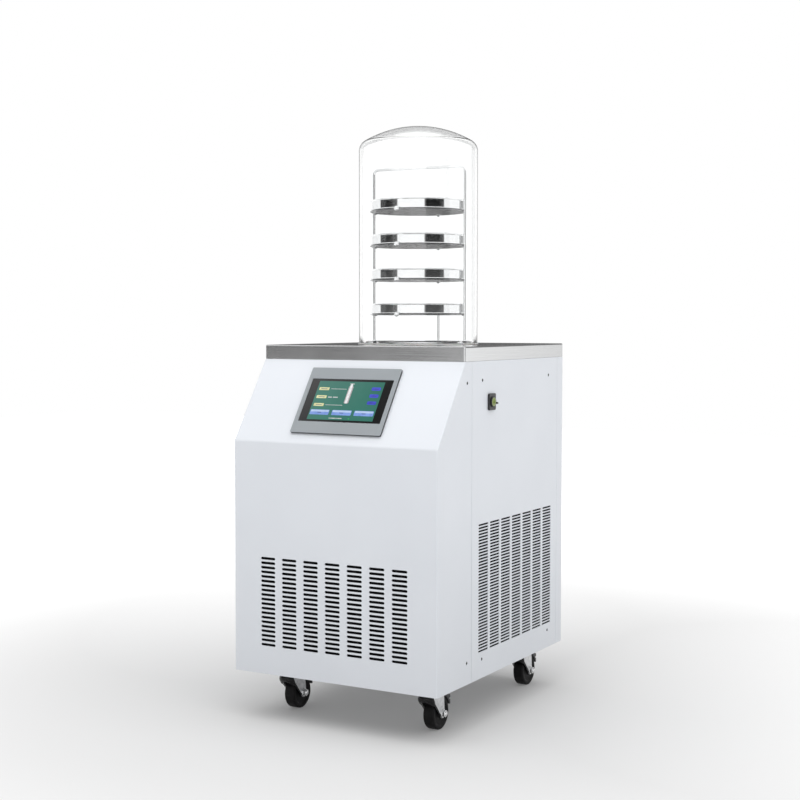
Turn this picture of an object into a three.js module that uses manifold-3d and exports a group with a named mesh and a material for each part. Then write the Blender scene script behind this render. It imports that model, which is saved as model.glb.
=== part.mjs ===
// Laboratory freeze dryer on casters: a sheet-steel cabinet with a sloping touch
// panel, a stainless worktop over a cold trap, and a bell jar that covers a
// four-shelf drying rack. Millimetres, +Z up, front towards -Y.

import * as THREE from "three";
import { mergeGeometries, mergeVertices } from "three/addons/utils/BufferGeometryUtils.js";
import Module from "manifold-3d";

const wasm = await Module();
wasm.setup();

// ---------------------------------------------------------------- dimensions

const clearance = 0.3; // gap between pieces that touch
const runningGap = 0.5; // gap around a turning or passing piece

// cabinet
const cabinetWidth = 450;
const cabinetDepth = 557;
const cabinetHeight = 607; // covers, from their bottom edge to the worktop
const slopeRise = 156; // height of the sloping panel
const slopeRun = 107; // how far it leans back
const coverSheet = 1.5;
const seam = 1; // gap between neighbouring covers
const cheekDepth = 135; // the front cover wraps this far round each side
const rearWrap = 30; // the rear panel wraps this far round each side
const worktopThickness = 28;
const worktopSheet = 1.5;

// chassis
const chassisFloor = 2;
const chassisSheet = 1.5;
const chassisFlange = 50; // height of the floor's upstand and of the top rails
const postWidth = 30;
const railSetback = 4; // front posts behind the worktop's front edge
const frameTuck = 1; // the front frame's edges inside the floor and the rails

// front, side and rear air slots; margins lie outside the first and last column
const frontVent = { columns: 7, rows: 20, margin: 62.2, web: 15.2, rowPitch: 8.84, height: 4 };
const frontVentBase = 55.3; // lowest slot edge above the covers' bottom edge
const sideVent = { columns: 7, rows: 42, margin: 28.4, web: 7.3, rowPitch: 5.91, height: 2.8 };
const sideVentBase = 51.6;
const rearVent = { columns: 4, rows: 8, margin: 103, web: 12, rowPitch: 16, height: 6 };
const rearVentBase = 250;

// touch panel
const panelWidth = 200;
const panelHeight = 146;
const panelThickness = 5;
const windowWidth = 181.5;
const windowHeight = 95.5;
const screenThickness = 4;
const housingWidth = 190;
const housingHeight = 124;
const housingDepth = 28;

// bell jar and seal
const jarRadius = 121.3;
const jarWall = 5;
const jarHeadRoom = 81; // from the rack's bar to the top of the dome
const domeRadius = 218;
const shoulderRadius = 22;
const sealThickness = 1.5;
const sealWidth = 10;

// drying rack
const rackTurn = 4.2; // degrees: the rack stands slightly turned in the jar
const rackBaseInset = 4.8; // between the jar's wall and the rack's base ring
const rackBaseThickness = 1.5;
const rackBaseWidth = 36;
const rodDiameter = 6;
const rodInset = 9; // rod centre inside the base ring's edge
const rodBend = 10;
const handleRoom = 93; // from the top shelf to the top of the rack's bar
const footRadius = 4.5;
const footHeight = 7.4;
const shelfCount = 4;
const shelfPitch = 70;
const firstShelfHeight = 59; // underside of the lowest shelf above the worktop
const shelfThickness = 2;
const ballRadius = 4.3; // stops at the front and rear of each shelf's rim
const legAboveShelf = 5; // the rear leg stands past the lowest shelf's plate
const trayHeight = 21.5;
const trayWall = 1.2;
const trayInset = 2.4; // tray wall inside the shelf's edge

// cold trap
const trapMouthMargin = 8.8; // between a rack foot and the trap's mouth
const trapWall = 1.5;
const trapDepth = 230;
const trapSides = 32;
const trapFlange = 25;
const insulationThickness = 35;
const coilTubeRadius = 4;
const coilTurns = 4;
const coilPitch = 26;
const coilBase = 22; // first turn above the trap's bottom
const coilStepsPerTurn = 12;
const coilStub = 14; // each end of the coil past the insulation
const portRadius = 12.5;
const portWall = 2;
const portDrop = 52; // port centre below the worktop's surface
const portReach = 22; // past the rear panel
const portFlangeRadius = 20;
const portFlangeThickness = 4;

// refrigeration and electrics
const condenserSideRoom = 75; // each side of the condenser
const condenserFront = 28;
const condenserDepth = 50;
const condenserHeight = 245;
const finCount = 18;
const finGap = 6;
const finDepth = 18;
const finEdge = 10; // solid edge round the finned face
const fanMargin = 24.5; // from the blade tips to the shroud's edge
const fanTipGap = 6;
const fanDepth = 16;
const fanHubRadius = 20;
const fanBladeCount = 5;
const fanBladeWidth = 44;
const fanBladePitch = 18; // degrees
const fanBladeThickness = 2;
const fanBladeRoot = 5; // blade inside the hub
const shaftRadius = 4;
const motorRadius = 32;
const motorLength = 50;
const shaftRecess = 2; // shaft's end inside the fan's front
const motorBar = { thickness: 3, halfHeight: 9, gap: 3, overreach: 14.5 };
const compressorRadius = 70;
const compressorHeight = 190;
const compressorCorner = 105; // compressor centre from the side and rear covers
const compressorShoulder = 26; // height of the can's rounded ends
const compressorFoot = { radius: 8, height: 14, inset: 8 };
const compressorPlate = 3;
const controlBoxHeight = 220;
const controlBoxLength = 230;
const controlBoxClearance = 12;
const controlBoxDrop = 10; // below the top of the rails

// vent valve on the right side panel
const valveY = 214;
const valveDrop = 79; // below the top of the covers
const valvePlate = { width: 28, height: 32, thickness: 4 };
const valveSpigotRadius = 7;
const valveSpigotLength = 30;
const valveStemRadius = 3.5;
const knobRadius = 10.5;
const knobThickness = 8;
const knobPointer = { reach: 4, halfHeight: 2 };

// mains inlet with rocker switch
const inletGap = 15.2; // from the chassis's rear post
const inletHeight = 80; // above the covers' bottom edge
const inletDepth = 26;
const inletRim = 4; // beside the socket and beside the rocker's bay
const inletWeb = 5; // between the two
const inletWall = 2; // above and below the rocker's bay
const inletLip = { overreach: 3, thickness: 2 };
const socketSize = { width: 25, height: 18, depth: 18 };
const rockerBay = { width: 18, height: 24, depth: 12 };
const rockerPin = { radius: 1.3, length: 1.5, depth: 4 };
const rockerFace = { gap: 1.2, valley: 3, tip: 4.6 };
const rockerThrow = 8; // degrees each side of level

// casters
const casterSideInset = 67; // swivel axis from the side covers
const frontCasterY = 96.5;
const rearCasterInset = 65; // rear swivel axis from the rear cover
const casterTrail = 22;
const wheelRadius = 31.5;
const wheelWidth = 23;
const hubRadius = 10;
const hubGap = 0.6; // between the wheel's hub and a fork leg
const treadRound = 3.5;
const forkSideGap = 1.5; // from the wheel to each leg
const forkSheet = 2;
const forkCrownGap = 19; // from the wheel's top to the top of the fork
const forkBack = 4; // rear edge of the legs behind the axle
const forkEye = 9; // round end of each leg about the axle
const forkNose = { overreach: 13.5, lift: 3, bulge: 3 }; // past and above the wheel
const crownSheet = 2.5;
const swivelHeight = 11; // raceway and plate above the fork
const casterPlate = { width: 56, length: 66, thickness: 2.5 };
const racewayRadius = 20;
const kingPinRadius = 5;
const kingPinHead = { radius: 8, height: 3 };
const axleRadius = 3.9;
const nutRadius = 6.5;
const nutHeight = 4;
const brakeSideGap = 2; // from the brake's shoe to each leg
const brakeShoe = { gap: 3.3, thickness: 7.5 }; // outside the tread
const brakePad = { overreach: 6.5, low: 9.5, high: 28.5, grooveLow: 18.5, grooveHigh: 22, groove: 3.5 };
const brakePivotBack = -2; // from the axle
const brakePinRadius = 2.2;

// ------------------------------------------------------------ derived places

const crownHeight = 2 * wheelRadius + forkCrownGap;
const casterHeight = crownHeight + swivelHeight;
const brakeMiddle = wheelRadius + brakeShoe.gap + brakeShoe.thickness / 2;
const brakePivot = {
  y: casterTrail + brakePivotBack,
  z: wheelRadius + Math.sqrt(brakeMiddle ** 2 - brakePivotBack ** 2),
};

const halfWidth = cabinetWidth / 2;
const coverBottom = casterHeight;
const coverTop = coverBottom + cabinetHeight - clearance;
const worktopBottom = coverBottom + cabinetHeight;
const worktopTop = worktopBottom + worktopThickness;
const worktopDepth = cabinetDepth - slopeRun;
const jarY = slopeRun + worktopDepth / 2;
const lowerFrontHeight = cabinetHeight - slopeRise;
const slopeTilt = Math.atan2(slopeRise, slopeRun);

const jarInner = jarRadius - jarWall;
const rackBaseRadius = jarInner - rackBaseInset;
const rodCentre = rackBaseRadius - rodInset;
const rodRadius = rodDiameter / 2;
const shelfRadius = rodCentre - rodRadius - clearance;
const trayRadius = shelfRadius - trayInset;
const ballCentre = trayRadius + clearance + ballRadius;
const rackHeight = firstShelfHeight + (shelfCount - 1) * shelfPitch + handleRoom;
const jarHeight = rackHeight + jarHeadRoom;
const trapRadius = rodCentre - footRadius - trapMouthMargin;

const chassisHalf = halfWidth - coverSheet - clearance;
const chassisFront = coverSheet + clearance;
const chassisBack = cabinetDepth - coverSheet - clearance;
const chassisTop = coverBottom + cabinetHeight - clearance;
const floorTop = coverBottom + chassisFloor;
const railFront = slopeRun + railSetback;

const trapFlangeTop = worktopTop - worktopSheet - clearance;
const trapBottom = trapFlangeTop - trapDepth;
const coilRadius = (trapRadius + trapWall + clearance + coilTubeRadius)
  / Math.cos(Math.PI / coilStepsPerTurn);
const insulationInner = (coilRadius + coilTubeRadius + clearance) / Math.cos(Math.PI / trapSides);
const insulationOuter = insulationInner + insulationThickness;
const coilTail = Math.sqrt(insulationOuter ** 2 - coilRadius ** 2) + coilStub;
const portZ = worktopTop - portDrop;

const valveZ = coverBottom + cabinetHeight - valveDrop;

const fanBack = condenserFront + condenserDepth + clearance;
const fanZ = floorTop + clearance + condenserHeight / 2;
const fanRadius = Math.min(halfWidth - condenserSideRoom, condenserHeight / 2) - fanMargin;
const fanY = fanBack + chassisSheet + fanDepth / 2 + runningGap;

const inletHalf = {
  width: (socketSize.width + inletWeb + rockerBay.width) / 2 + inletRim,
  height: rockerBay.height / 2 + inletWall,
};
const inletCentreX = -(chassisHalf - postWidth - inletGap - inletHalf.width);
const inletBack = cabinetDepth + clearance + inletLip.thickness;
const rockerX = inletCentreX + inletHalf.width - inletRim - rockerBay.width / 2;
const rockerY = inletBack - rockerPin.depth;
const socketX = inletCentreX - inletHalf.width + inletRim + socketSize.width / 2;

const forkInnerHalf = wheelWidth / 2 + forkSideGap;
const brakeHalfWidth = forkInnerHalf - brakeSideGap;

// ------------------------------------------------------------ solid builders

const along = {
  // local x, y and extrusion z laid on the world's axes
  front: new THREE.Matrix4().makeBasis(vec(1, 0, 0), vec(0, 0, 1), vec(0, -1, 0)),
  side: new THREE.Matrix4().makeBasis(vec(0, 1, 0), vec(0, 0, 1), vec(1, 0, 0)),
  rear: new THREE.Matrix4().makeBasis(vec(-1, 0, 0), vec(0, 0, 1), vec(0, 1, 0)),
};

function vec(x, y, z) {
  return new THREE.Vector3(x, y, z);
}

function centred(middle, half) {
  return [middle - half, middle + half];
}

function ordered(a, b) {
  return a < b ? [a, b] : [b, a];
}

function signedVolume(positions, index) {
  let total = 0;
  const [a, b, c] = [vec(), vec(), vec()];
  for (let i = 0; i < index.length; i += 3) {
    a.fromArray(positions, index[i] * 3);
    b.fromArray(positions, index[i + 1] * 3);
    c.fromArray(positions, index[i + 2] * 3);
    total += a.dot(b.cross(c));
  }
  return total;
}

// A manifold solid from any closed three.js geometry: shared vertices merged,
// collapsed triangles dropped and faces turned outwards. Points are rounded to
// a thousandth so that faces meant to be flush are exactly so.
function solid(geometry) {
  const bare = new THREE.BufferGeometry();
  bare.setAttribute("position", geometry.getAttribute("position").clone());
  if (geometry.index) bare.setIndex(geometry.index.clone());
  const merged = mergeVertices(bare, 1e-4);
  const positions = Float32Array.from(
    merged.getAttribute("position").array,
    (value) => Math.round(value * 1000) / 1000,
  );
  const source = merged.index.array;
  const kept = [];
  for (let i = 0; i < source.length; i += 3) {
    const [a, b, c] = [source[i], source[i + 1], source[i + 2]];
    if (a !== b && b !== c && c !== a) kept.push(a, b, c);
  }
  if (signedVolume(positions, kept) < 0) kept.reverse();
  return new wasm.Manifold(new wasm.Mesh({
    numProp: 3,
    vertProperties: positions,
    triVerts: Uint32Array.from(kept),
  }));
}

function meshOf(name, body, finish) {
  const { vertProperties, triVerts, numProp } = body.getMesh();
  const geometry = new THREE.BufferGeometry();
  const positions = new Float32Array((vertProperties.length / numProp) * 3);
  for (let i = 0; i < positions.length / 3; i += 1) {
    positions.set(vertProperties.subarray(i * numProp, i * numProp + 3), i * 3);
  }
  geometry.setAttribute("position", new THREE.BufferAttribute(positions, 3));
  geometry.setIndex(new THREE.BufferAttribute(Uint32Array.from(triVerts), 1));
  geometry.computeVertexNormals();
  const mesh = new THREE.Mesh(geometry, finish);
  mesh.name = name;
  return mesh;
}

function join(bodies) {
  return bodies.reduce((whole, body) => whole.add(body));
}

function block([x0, x1], [y0, y1], [z0, z1]) {
  const geometry = new THREE.BoxGeometry(x1 - x0, y1 - y0, z1 - z0);
  geometry.translate((x0 + x1) / 2, (y0 + y1) / 2, (z0 + z1) / 2);
  return solid(geometry);
}

// Upright turned body: profile points are [radius, height], turned about +Z.
function turned(profile, segments, phase = 0) {
  const points = profile.map(([radius, height]) => new THREE.Vector2(radius, height));
  const geometry = new THREE.LatheGeometry(points, segments, phase);
  geometry.rotateX(Math.PI / 2);
  return solid(geometry);
}

function upright(radius, z0, z1, segments, x = 0, y = 0) {
  const profile = [[0, z0], [radius, z0], [radius, z1], [0, z1]];
  return turned(profile, segments).translate([x, y, 0]);
}

function ringProfile(inner, outer, z0, z1) {
  return [[inner, z0], [outer, z0], [outer, z1], [inner, z1], [inner, z0]];
}

// A rod along X or Y from one coordinate to another.
function rodAlongX(radius, x0, x1, y, z, segments) {
  const geometry = new THREE.CylinderGeometry(radius, radius, x1 - x0, segments);
  geometry.rotateZ(Math.PI / 2);
  geometry.translate((x0 + x1) / 2, y, z);
  return solid(geometry);
}

function rodAlongY(radius, y0, y1, x, z, segments) {
  const geometry = new THREE.CylinderGeometry(radius, radius, y1 - y0, segments);
  geometry.translate(x, (y0 + y1) / 2, z);
  return solid(geometry);
}

// Flat outline pushed through a thickness, then laid on an axis of the world.
function extruded(outline, thickness, orientation) {
  const shape = new THREE.Shape(outline.map(([x, y]) => new THREE.Vector2(x, y)));
  const geometry = new THREE.ExtrudeGeometry(shape, { depth: thickness, bevelEnabled: false });
  geometry.translate(0, 0, -thickness / 2);
  if (orientation) geometry.applyMatrix4(orientation);
  return solid(geometry);
}

function tube(path, radius, sides, steps) {
  const section = new THREE.Shape();
  for (let i = 0; i < sides; i += 1) {
    const angle = (i / sides) * 2 * Math.PI;
    const point = [radius * Math.cos(angle), radius * Math.sin(angle)];
    if (i === 0) section.moveTo(...point);
    else section.lineTo(...point);
  }
  return solid(new THREE.ExtrudeGeometry(section, { extrudePath: path, steps, bevelEnabled: false }));
}

// A path through given corners, with one step of a tube to each straight piece.
class BentPath extends THREE.Curve {
  constructor(corners) {
    super();
    this.corners = corners;
  }

  getUtoTmapping(u) {
    return u;
  }

  getPoint(t) {
    const last = this.corners.length - 2;
    const piece = Math.max(0, Math.min(Math.floor(t * (last + 1)), last));
    return this.corners[piece].clone().lerp(this.corners[piece + 1], t * (last + 1) - piece);
  }

  getTangent(t) {
    const corner = Math.round(t * (this.corners.length - 1));
    const before = this.corners[Math.max(corner - 1, 0)];
    const here = this.corners[corner];
    const after = this.corners[Math.min(corner + 1, this.corners.length - 1)];
    const arriving = here.clone().sub(before).normalize();
    const leaving = after.clone().sub(here).normalize();
    return arriving.add(leaving).normalize();
  }
}

function arcPoints(centreX, centreY, radius, start, end, steps) {
  return Array.from({ length: steps + 1 }, (_, i) => {
    const angle = THREE.MathUtils.degToRad(start + ((end - start) * i) / steps);
    return [centreX + radius * Math.cos(angle), centreY + radius * Math.sin(angle)];
  });
}

// A grid of slots as one cutter, centred across and rising from its first row.
function slotCutter(vent, width, depth, orientation, pointed) {
  const length = (width - 2 * vent.margin - (vent.columns - 1) * vent.web) / vent.columns;
  const half = length / 2;
  const rise = vent.height / 2;
  const tip = pointed ? rise : 0;
  const outline = [[-half + tip, -rise], [half - tip, -rise], [half, 0], [half - tip, rise],
    [-half + tip, rise], [-half, 0]];
  const corners = pointed ? outline : outline.filter(([, y]) => y !== 0);
  const shape = new THREE.Shape(corners.map(([x, y]) => new THREE.Vector2(x, y)));
  const slots = [];
  for (let column = 0; column < vent.columns; column += 1) {
    for (let row = 0; row < vent.rows; row += 1) {
      const slot = new THREE.ExtrudeGeometry(shape, { depth, bevelEnabled: false });
      const x = (column - (vent.columns - 1) / 2) * (length + vent.web);
      slot.translate(x, rise + row * vent.rowPitch, -depth / 2);
      slots.push(slot);
    }
  }
  return solid(mergeGeometries(slots).applyMatrix4(orientation));
}

// ----------------------------------------------------------------- finishes

function finish(color, roughness, metalness, opacity = 1) {
  return new THREE.MeshStandardMaterial({
    color, roughness, metalness, opacity, transparent: opacity < 1,
  });
}

const finishes = {
  whitePaint: finish(0xe4e7ea, 0.45, 0),
  galvanised: finish(0x9ba1a6, 0.5, 0.8),
  brushedSteel: finish(0x9a9c9c, 0.35, 1),
  polishedSteel: finish(0xe2e4e6, 0.12, 1),
  glass: finish(0xeef3f5, 0.03, 0, 0.25),
  silicone: finish(0xd9dcdc, 0.6, 0),
  blackRubber: finish(0x1b1b1c, 0.8, 0),
  blackPlastic: finish(0x18191a, 0.45, 0),
  silverFrame: finish(0xa9b0b5, 0.4, 0.3),
  screen: finish(0x0c1416, 0.12, 0),
  olivePlastic: finish(0x7e8b45, 0.4, 0),
  foam: finish(0x3a3c3e, 0.95, 0),
  copper: finish(0xb87350, 0.35, 1),
  blackPaint: finish(0x1d1f20, 0.4, 0.1),
};

// ------------------------------------------------------------------ cabinet

// A sheet-steel tub whose walls are cut down to posts and rails.
function chassis() {
  const past = 5;
  const shell = block([-chassisHalf, chassisHalf], [chassisFront, chassisBack], [coverBottom, chassisTop]);
  const inside = chassisHalf - chassisSheet;
  const upstandTop = coverBottom + chassisFlange;
  const window = [upstandTop, chassisTop - chassisFlange];
  const betweenPosts = [postWidth - chassisHalf, chassisHalf - postWidth];
  const cuts = [
    block([-inside, inside], [chassisFront + chassisSheet, chassisBack - chassisSheet],
      [floorTop, chassisTop + past]),
    block([-halfWidth, halfWidth], [chassisFront - past, railFront], [upstandTop, chassisTop + past]),
    block([-halfWidth, halfWidth], [railFront + postWidth, chassisBack - postWidth], window),
    block(betweenPosts, [chassisBack - past, chassisBack + past], window),
    portHole(),
  ];
  const frameHalf = chassisHalf - chassisSheet / 2;
  const frameY = [railFront + frameTuck, railFront + frameTuck + chassisSheet];
  const frame = block([-frameHalf, frameHalf], frameY, [floorTop - frameTuck, chassisTop - frameTuck]);
  const opening = block(betweenPosts, [railFront, railFront + postWidth],
    [floorTop + frameTuck, chassisTop - chassisFlange / 2]);
  return shell.subtract(join(cuts)).add(frame.subtract(opening));
}

// The front cover is one folded sheet: upright front, sloping panel and cheeks.
function frontCover() {
  const back = cheekDepth - seam / 2;
  const outer = extruded([
    [0, coverBottom], [back, coverBottom], [back, coverTop],
    [slopeRun - clearance / Math.tan(slopeTilt), coverTop], [0, coverBottom + lowerFrontHeight],
  ], cabinetWidth, along.side);
  // inner face of the slope, one sheet behind the outer one
  const lift = coverSheet * Math.tan((Math.PI / 2 - slopeTilt) / 2);
  const foldZ = coverBottom + lowerFrontHeight - lift;
  const overrun = 40;
  const inner = extruded([
    [coverSheet, coverBottom - overrun], [back + overrun, coverBottom - overrun],
    [back + overrun, foldZ + slopeRise + overrun],
    [coverSheet + (slopeRise + overrun) / Math.tan(slopeTilt), foldZ + slopeRise + overrun],
    [coverSheet, foldZ],
  ], cabinetWidth - 2 * coverSheet, along.side);
  return outer.subtract(inner).subtract(frontVentCutter()).subtract(panelCutout());
}

function frontVentCutter() {
  const cutter = slotCutter(frontVent, cabinetWidth, 6 * coverSheet, along.front, true);
  return cutter.translate([0, coverSheet / 2, coverBottom + frontVentBase]);
}

function sidePanel(hand) {
  const [near, far] = [halfWidth - coverSheet, halfWidth];
  const skin = hand > 0 ? [near, far] : [-far, -near];
  const length = [cheekDepth + seam / 2, cabinetDepth - rearWrap - seam / 2];
  const plate = block(skin, length, [coverBottom, coverTop]);
  if (hand < 0) return plate;
  const centreY = (length[0] + length[1]) / 2;
  const vents = slotCutter(sideVent, length[1] - length[0], 6 * coverSheet, along.side, false);
  const spigotHole = rodAlongX(valveSpigotRadius + runningGap, halfWidth - 10, halfWidth + 10,
    valveY, valveZ, 16);
  return plate
    .subtract(vents.translate([halfWidth, centreY, coverBottom + sideVentBase]))
    .subtract(spigotHole);
}

function rearPanel() {
  const wrapFront = cabinetDepth - rearWrap + seam / 2;
  const inside = halfWidth - coverSheet;
  const outer = block([-halfWidth, halfWidth], [wrapFront, cabinetDepth], [coverBottom, coverTop]);
  const inner = block([-inside, inside], [wrapFront - 5, cabinetDepth - coverSheet],
    [coverBottom - 5, coverTop + 5]);
  const inletHole = block(
    centred(inletCentreX, inletHalf.width + runningGap),
    [cabinetDepth - 10, cabinetDepth + 10],
    centred(coverBottom + inletHeight, inletHalf.height + runningGap),
  );
  return outer.subtract(inner).subtract(rearVentCutter()).subtract(portHole()).subtract(inletHole);
}

function rearVentCutter() {
  const cutter = slotCutter(rearVent, cabinetWidth, 6 * coverSheet, along.rear, false);
  return cutter.translate([0, cabinetDepth, coverBottom + rearVentBase]);
}

// Stainless top folded down on all four sides, with the trap's mouth cut out.
function worktop() {
  const inside = halfWidth - worktopSheet;
  const outer = block([-halfWidth, halfWidth], [slopeRun, cabinetDepth], [worktopBottom, worktopTop]);
  const inner = block([-inside, inside], [slopeRun + worktopSheet, cabinetDepth - worktopSheet],
    [worktopBottom - 5, worktopTop - worktopSheet]);
  const mouth = upright(trapRadius, worktopBottom, worktopTop + 5, trapSides, 0, jarY);
  return outer.subtract(inner).subtract(mouth);
}

// -------------------------------------------------------------- touch panel

function panelCutout() {
  const cutter = extruded(rectangle(housingWidth + 2 * runningGap, housingHeight + 2 * runningGap),
    8 * coverSheet);
  return cutter.transform(panelFrame().elements);
}

// Frame whose x runs across the sloping panel, y up it and z out of it.
function panelFrame() {
  const middle = vec(0, slopeRun / 2, coverBottom + lowerFrontHeight + slopeRise / 2);
  return new THREE.Matrix4().makeRotationX(slopeTilt).setPosition(middle);
}

function rectangle(width, height) {
  const [x, y] = [width / 2, height / 2];
  return [[-x, -y], [x, -y], [x, y], [-x, y]];
}

function slab(width, height, low, high) {
  return extruded(rectangle(width, height), high - low).translate([0, 0, (low + high) / 2]);
}

function touchPanel() {
  const group = new THREE.Group();
  const bezel = slab(panelWidth, panelHeight, clearance, clearance + panelThickness)
    .subtract(slab(windowWidth, windowHeight, -1, panelThickness + 2));
  const screen = slab(windowWidth - 2 * clearance, windowHeight - 2 * clearance,
    clearance, clearance + screenThickness);
  const housing = slab(housingWidth, housingHeight, -housingDepth, 0);
  group.add(meshOf("panel_frame", bezel, finishes.silverFrame));
  group.add(meshOf("panel_screen", screen, finishes.screen));
  group.add(meshOf("panel_housing", housing, finishes.blackPlastic));
  group.applyMatrix4(panelFrame());
  return group;
}

// ---------------------------------------------------------------- cold trap

function coldTrap() {
  const [inner, outer] = [trapRadius, trapRadius + trapWall];
  const well = turned([
    [0, trapBottom], [outer, trapBottom], [outer, trapFlangeTop - trapWall],
    [inner + trapFlange, trapFlangeTop - trapWall], [inner + trapFlange, trapFlangeTop],
    [inner, trapFlangeTop], [inner, trapBottom + trapWall], [0, trapBottom + trapWall],
  ], trapSides).translate([0, jarY, 0]);
  const bore = rodAlongY(portRadius - portWall, jarY, jarY + 2 * trapRadius, 0, portZ, 10);
  return well.subtract(bore);
}

function trapInsulation() {
  const floor = trapBottom - clearance;
  const top = trapFlangeTop - trapWall - clearance;
  const cup = turned([
    [0, floor - insulationThickness], [insulationOuter, floor - insulationThickness],
    [insulationOuter, top], [insulationInner, top], [insulationInner, floor], [0, floor],
  ], trapSides).translate([0, jarY, 0]);
  return cup.subtract(portHole()).subtract(coilTailHole(-1)).subtract(coilTailHole(1));
}

function coilTailHole(hand) {
  const height = trapBottom + coilBase + (hand > 0 ? coilTurns * coilPitch : 0);
  const ends = ordered(jarY, jarY + hand * (coilTail + coilStub));
  return rodAlongY(coilTubeRadius + runningGap, ...ends, coilRadius, height, 8);
}

// Helix around the trap whose two ends run off straight, tangent to the coil.
class CoilPath extends THREE.Curve {
  getPoint(t) {
    const turnLength = 2 * Math.PI * coilRadius;
    const helixLength = coilTurns * turnLength;
    const travel = t * (helixLength + 2 * coilTail) - coilTail;
    const onHelix = Math.min(Math.max(travel, 0), helixLength);
    const angle = onHelix / coilRadius;
    const spare = travel - onHelix;
    return vec(
      coilRadius * Math.cos(angle) - spare * Math.sin(angle),
      jarY + coilRadius * Math.sin(angle) + spare * Math.cos(angle),
      trapBottom + coilBase + (onHelix / turnLength) * coilPitch,
    );
  }
}

function evaporatorCoil() {
  const stepLength = (2 * Math.PI * coilRadius) / coilStepsPerTurn;
  const steps = coilTurns * coilStepsPerTurn + Math.ceil((2 * coilTail) / stepLength);
  return tube(new CoilPath(), coilTubeRadius, 6, steps);
}

function portHole() {
  return rodAlongY(portRadius + runningGap, jarY + trapRadius + 2 * trapWall + 1, cabinetDepth + 20,
    0, portZ, 16);
}

// Vacuum pipe from the trap's wall out through the rear, with a clamp flange.
function vacuumPort() {
  const start = jarY + trapRadius + trapWall + runningGap;
  const end = cabinetDepth + portReach;
  const bore = portRadius - portWall;
  const profile = [
    [bore, start], [portRadius, start], [portRadius, end - portFlangeThickness],
    [portFlangeRadius, end - portFlangeThickness], [portFlangeRadius, end], [bore, end], [bore, start],
  ];
  return turned(profile, 16).rotate([-90, 0, 0]).translate([0, 0, portZ]);
}

// ------------------------------------------------- refrigeration and control

// Core block whose front is cut into upright fins.
function condenser() {
  const half = halfWidth - condenserSideRoom;
  const base = floorTop + clearance;
  const core = block([-half, half], [condenserFront, condenserFront + condenserDepth],
    [base, base + condenserHeight]);
  const pitch = (2 * (half - finEdge)) / finCount;
  const grooves = Array.from({ length: finCount }, (_, i) => block(
    centred(-half + finEdge + (i + 0.5) * pitch, finGap / 2),
    [condenserFront - 1, condenserFront + finDepth],
    [base + finEdge, base + condenserHeight - finEdge],
  ));
  return core.subtract(join(grooves));
}

function fanShroud() {
  const half = halfWidth - condenserSideRoom;
  const base = floorTop + clearance;
  const hole = fanRadius + fanTipGap;
  const plate = block([-half, half], [fanBack, fanBack + chassisSheet], [base, base + condenserHeight]);
  const lip = fanY + fanDepth / 2;
  const collar = rodAlongY(hole + chassisSheet, fanBack, lip, 0, fanZ, 24);
  const opening = rodAlongY(hole, fanBack - 5, lip + 5, 0, fanZ, 24);
  return plate.add(collar).subtract(opening);
}

// Motor on a bar that spans the shroud's collar and is screwed to its plate.
function fanMotor() {
  const front = fanY + fanDepth / 2 + motorBar.gap;
  const back = front + motorBar.thickness;
  const reach = fanRadius + fanTipGap + motorBar.overreach;
  const height = centred(fanZ, motorBar.halfHeight);
  const bar = block([-reach, reach], [front, back], height);
  const arms = [-1, 1].map((hand) => block(
    ordered(hand * (reach - motorBar.thickness), hand * reach),
    [fanBack + chassisSheet + clearance, back],
    height,
  ));
  const can = rodAlongY(motorRadius, front, front + motorLength, 0, fanZ, 20);
  const shaft = rodAlongY(shaftRadius, fanY - fanDepth / 2 + shaftRecess, back, 0, fanZ, 12);
  return join([bar, ...arms, can, shaft]);
}

function fanRotor() {
  const [front, back] = centred(fanY, fanDepth / 2);
  const hub = rodAlongY(fanHubRadius, front, back, 0, fanZ, 16);
  const reach = fanRadius - fanHubRadius + fanBladeRoot;
  const blades = Array.from({ length: fanBladeCount }, (_, i) => {
    const blade = new THREE.BoxGeometry(fanBladeWidth, fanBladeThickness, reach);
    blade.rotateZ(THREE.MathUtils.degToRad(fanBladePitch));
    blade.translate(0, 0, fanHubRadius - fanBladeRoot + reach / 2);
    blade.rotateY((i / fanBladeCount) * 2 * Math.PI);
    blade.translate(0, fanY, fanZ);
    return solid(blade);
  });
  const bore = rodAlongY(shaftRadius + clearance, front - fanDepth, back + fanDepth, 0, fanZ, 12);
  return join([hub, ...blades]).subtract(bore);
}

function compressor() {
  const x = halfWidth - compressorCorner;
  const y = cabinetDepth - compressorCorner;
  const base = floorTop + clearance;
  const footTop = base + compressorFoot.height;
  const plateTop = footTop + compressorPlate;
  const top = base + compressorHeight;
  const can = turned([
    [0, footTop + 1], [compressorRadius * 0.86, footTop + 1],
    [compressorRadius, footTop + compressorShoulder], [compressorRadius, top - compressorShoulder],
    [compressorRadius * 0.8, top - compressorShoulder / 3], [0, top],
  ], 20).translate([x, y, 0]);
  const spread = compressorRadius - compressorFoot.inset;
  const plate = block(centred(x, compressorRadius), centred(y, compressorRadius), [footTop, plateTop]);
  const feet = [[-1, -1], [1, -1], [1, 1], [-1, 1]].map(([i, j]) => upright(
    compressorFoot.radius, base, footTop + 1, 8, x + i * spread, y + j * spread,
  ));
  return join([can, plate, ...feet]);
}

// Electronics box hung on the left top rail, beside the trap's insulation.
function controlBox() {
  const outside = -(chassisHalf - chassisSheet - clearance);
  const inside = -(insulationOuter + controlBoxClearance);
  const top = chassisTop - controlBoxDrop;
  return block([outside, inside], centred(jarY, controlBoxLength / 2), [top - controlBoxHeight, top]);
}

// --------------------------------------------------------- valve and inlet

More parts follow.
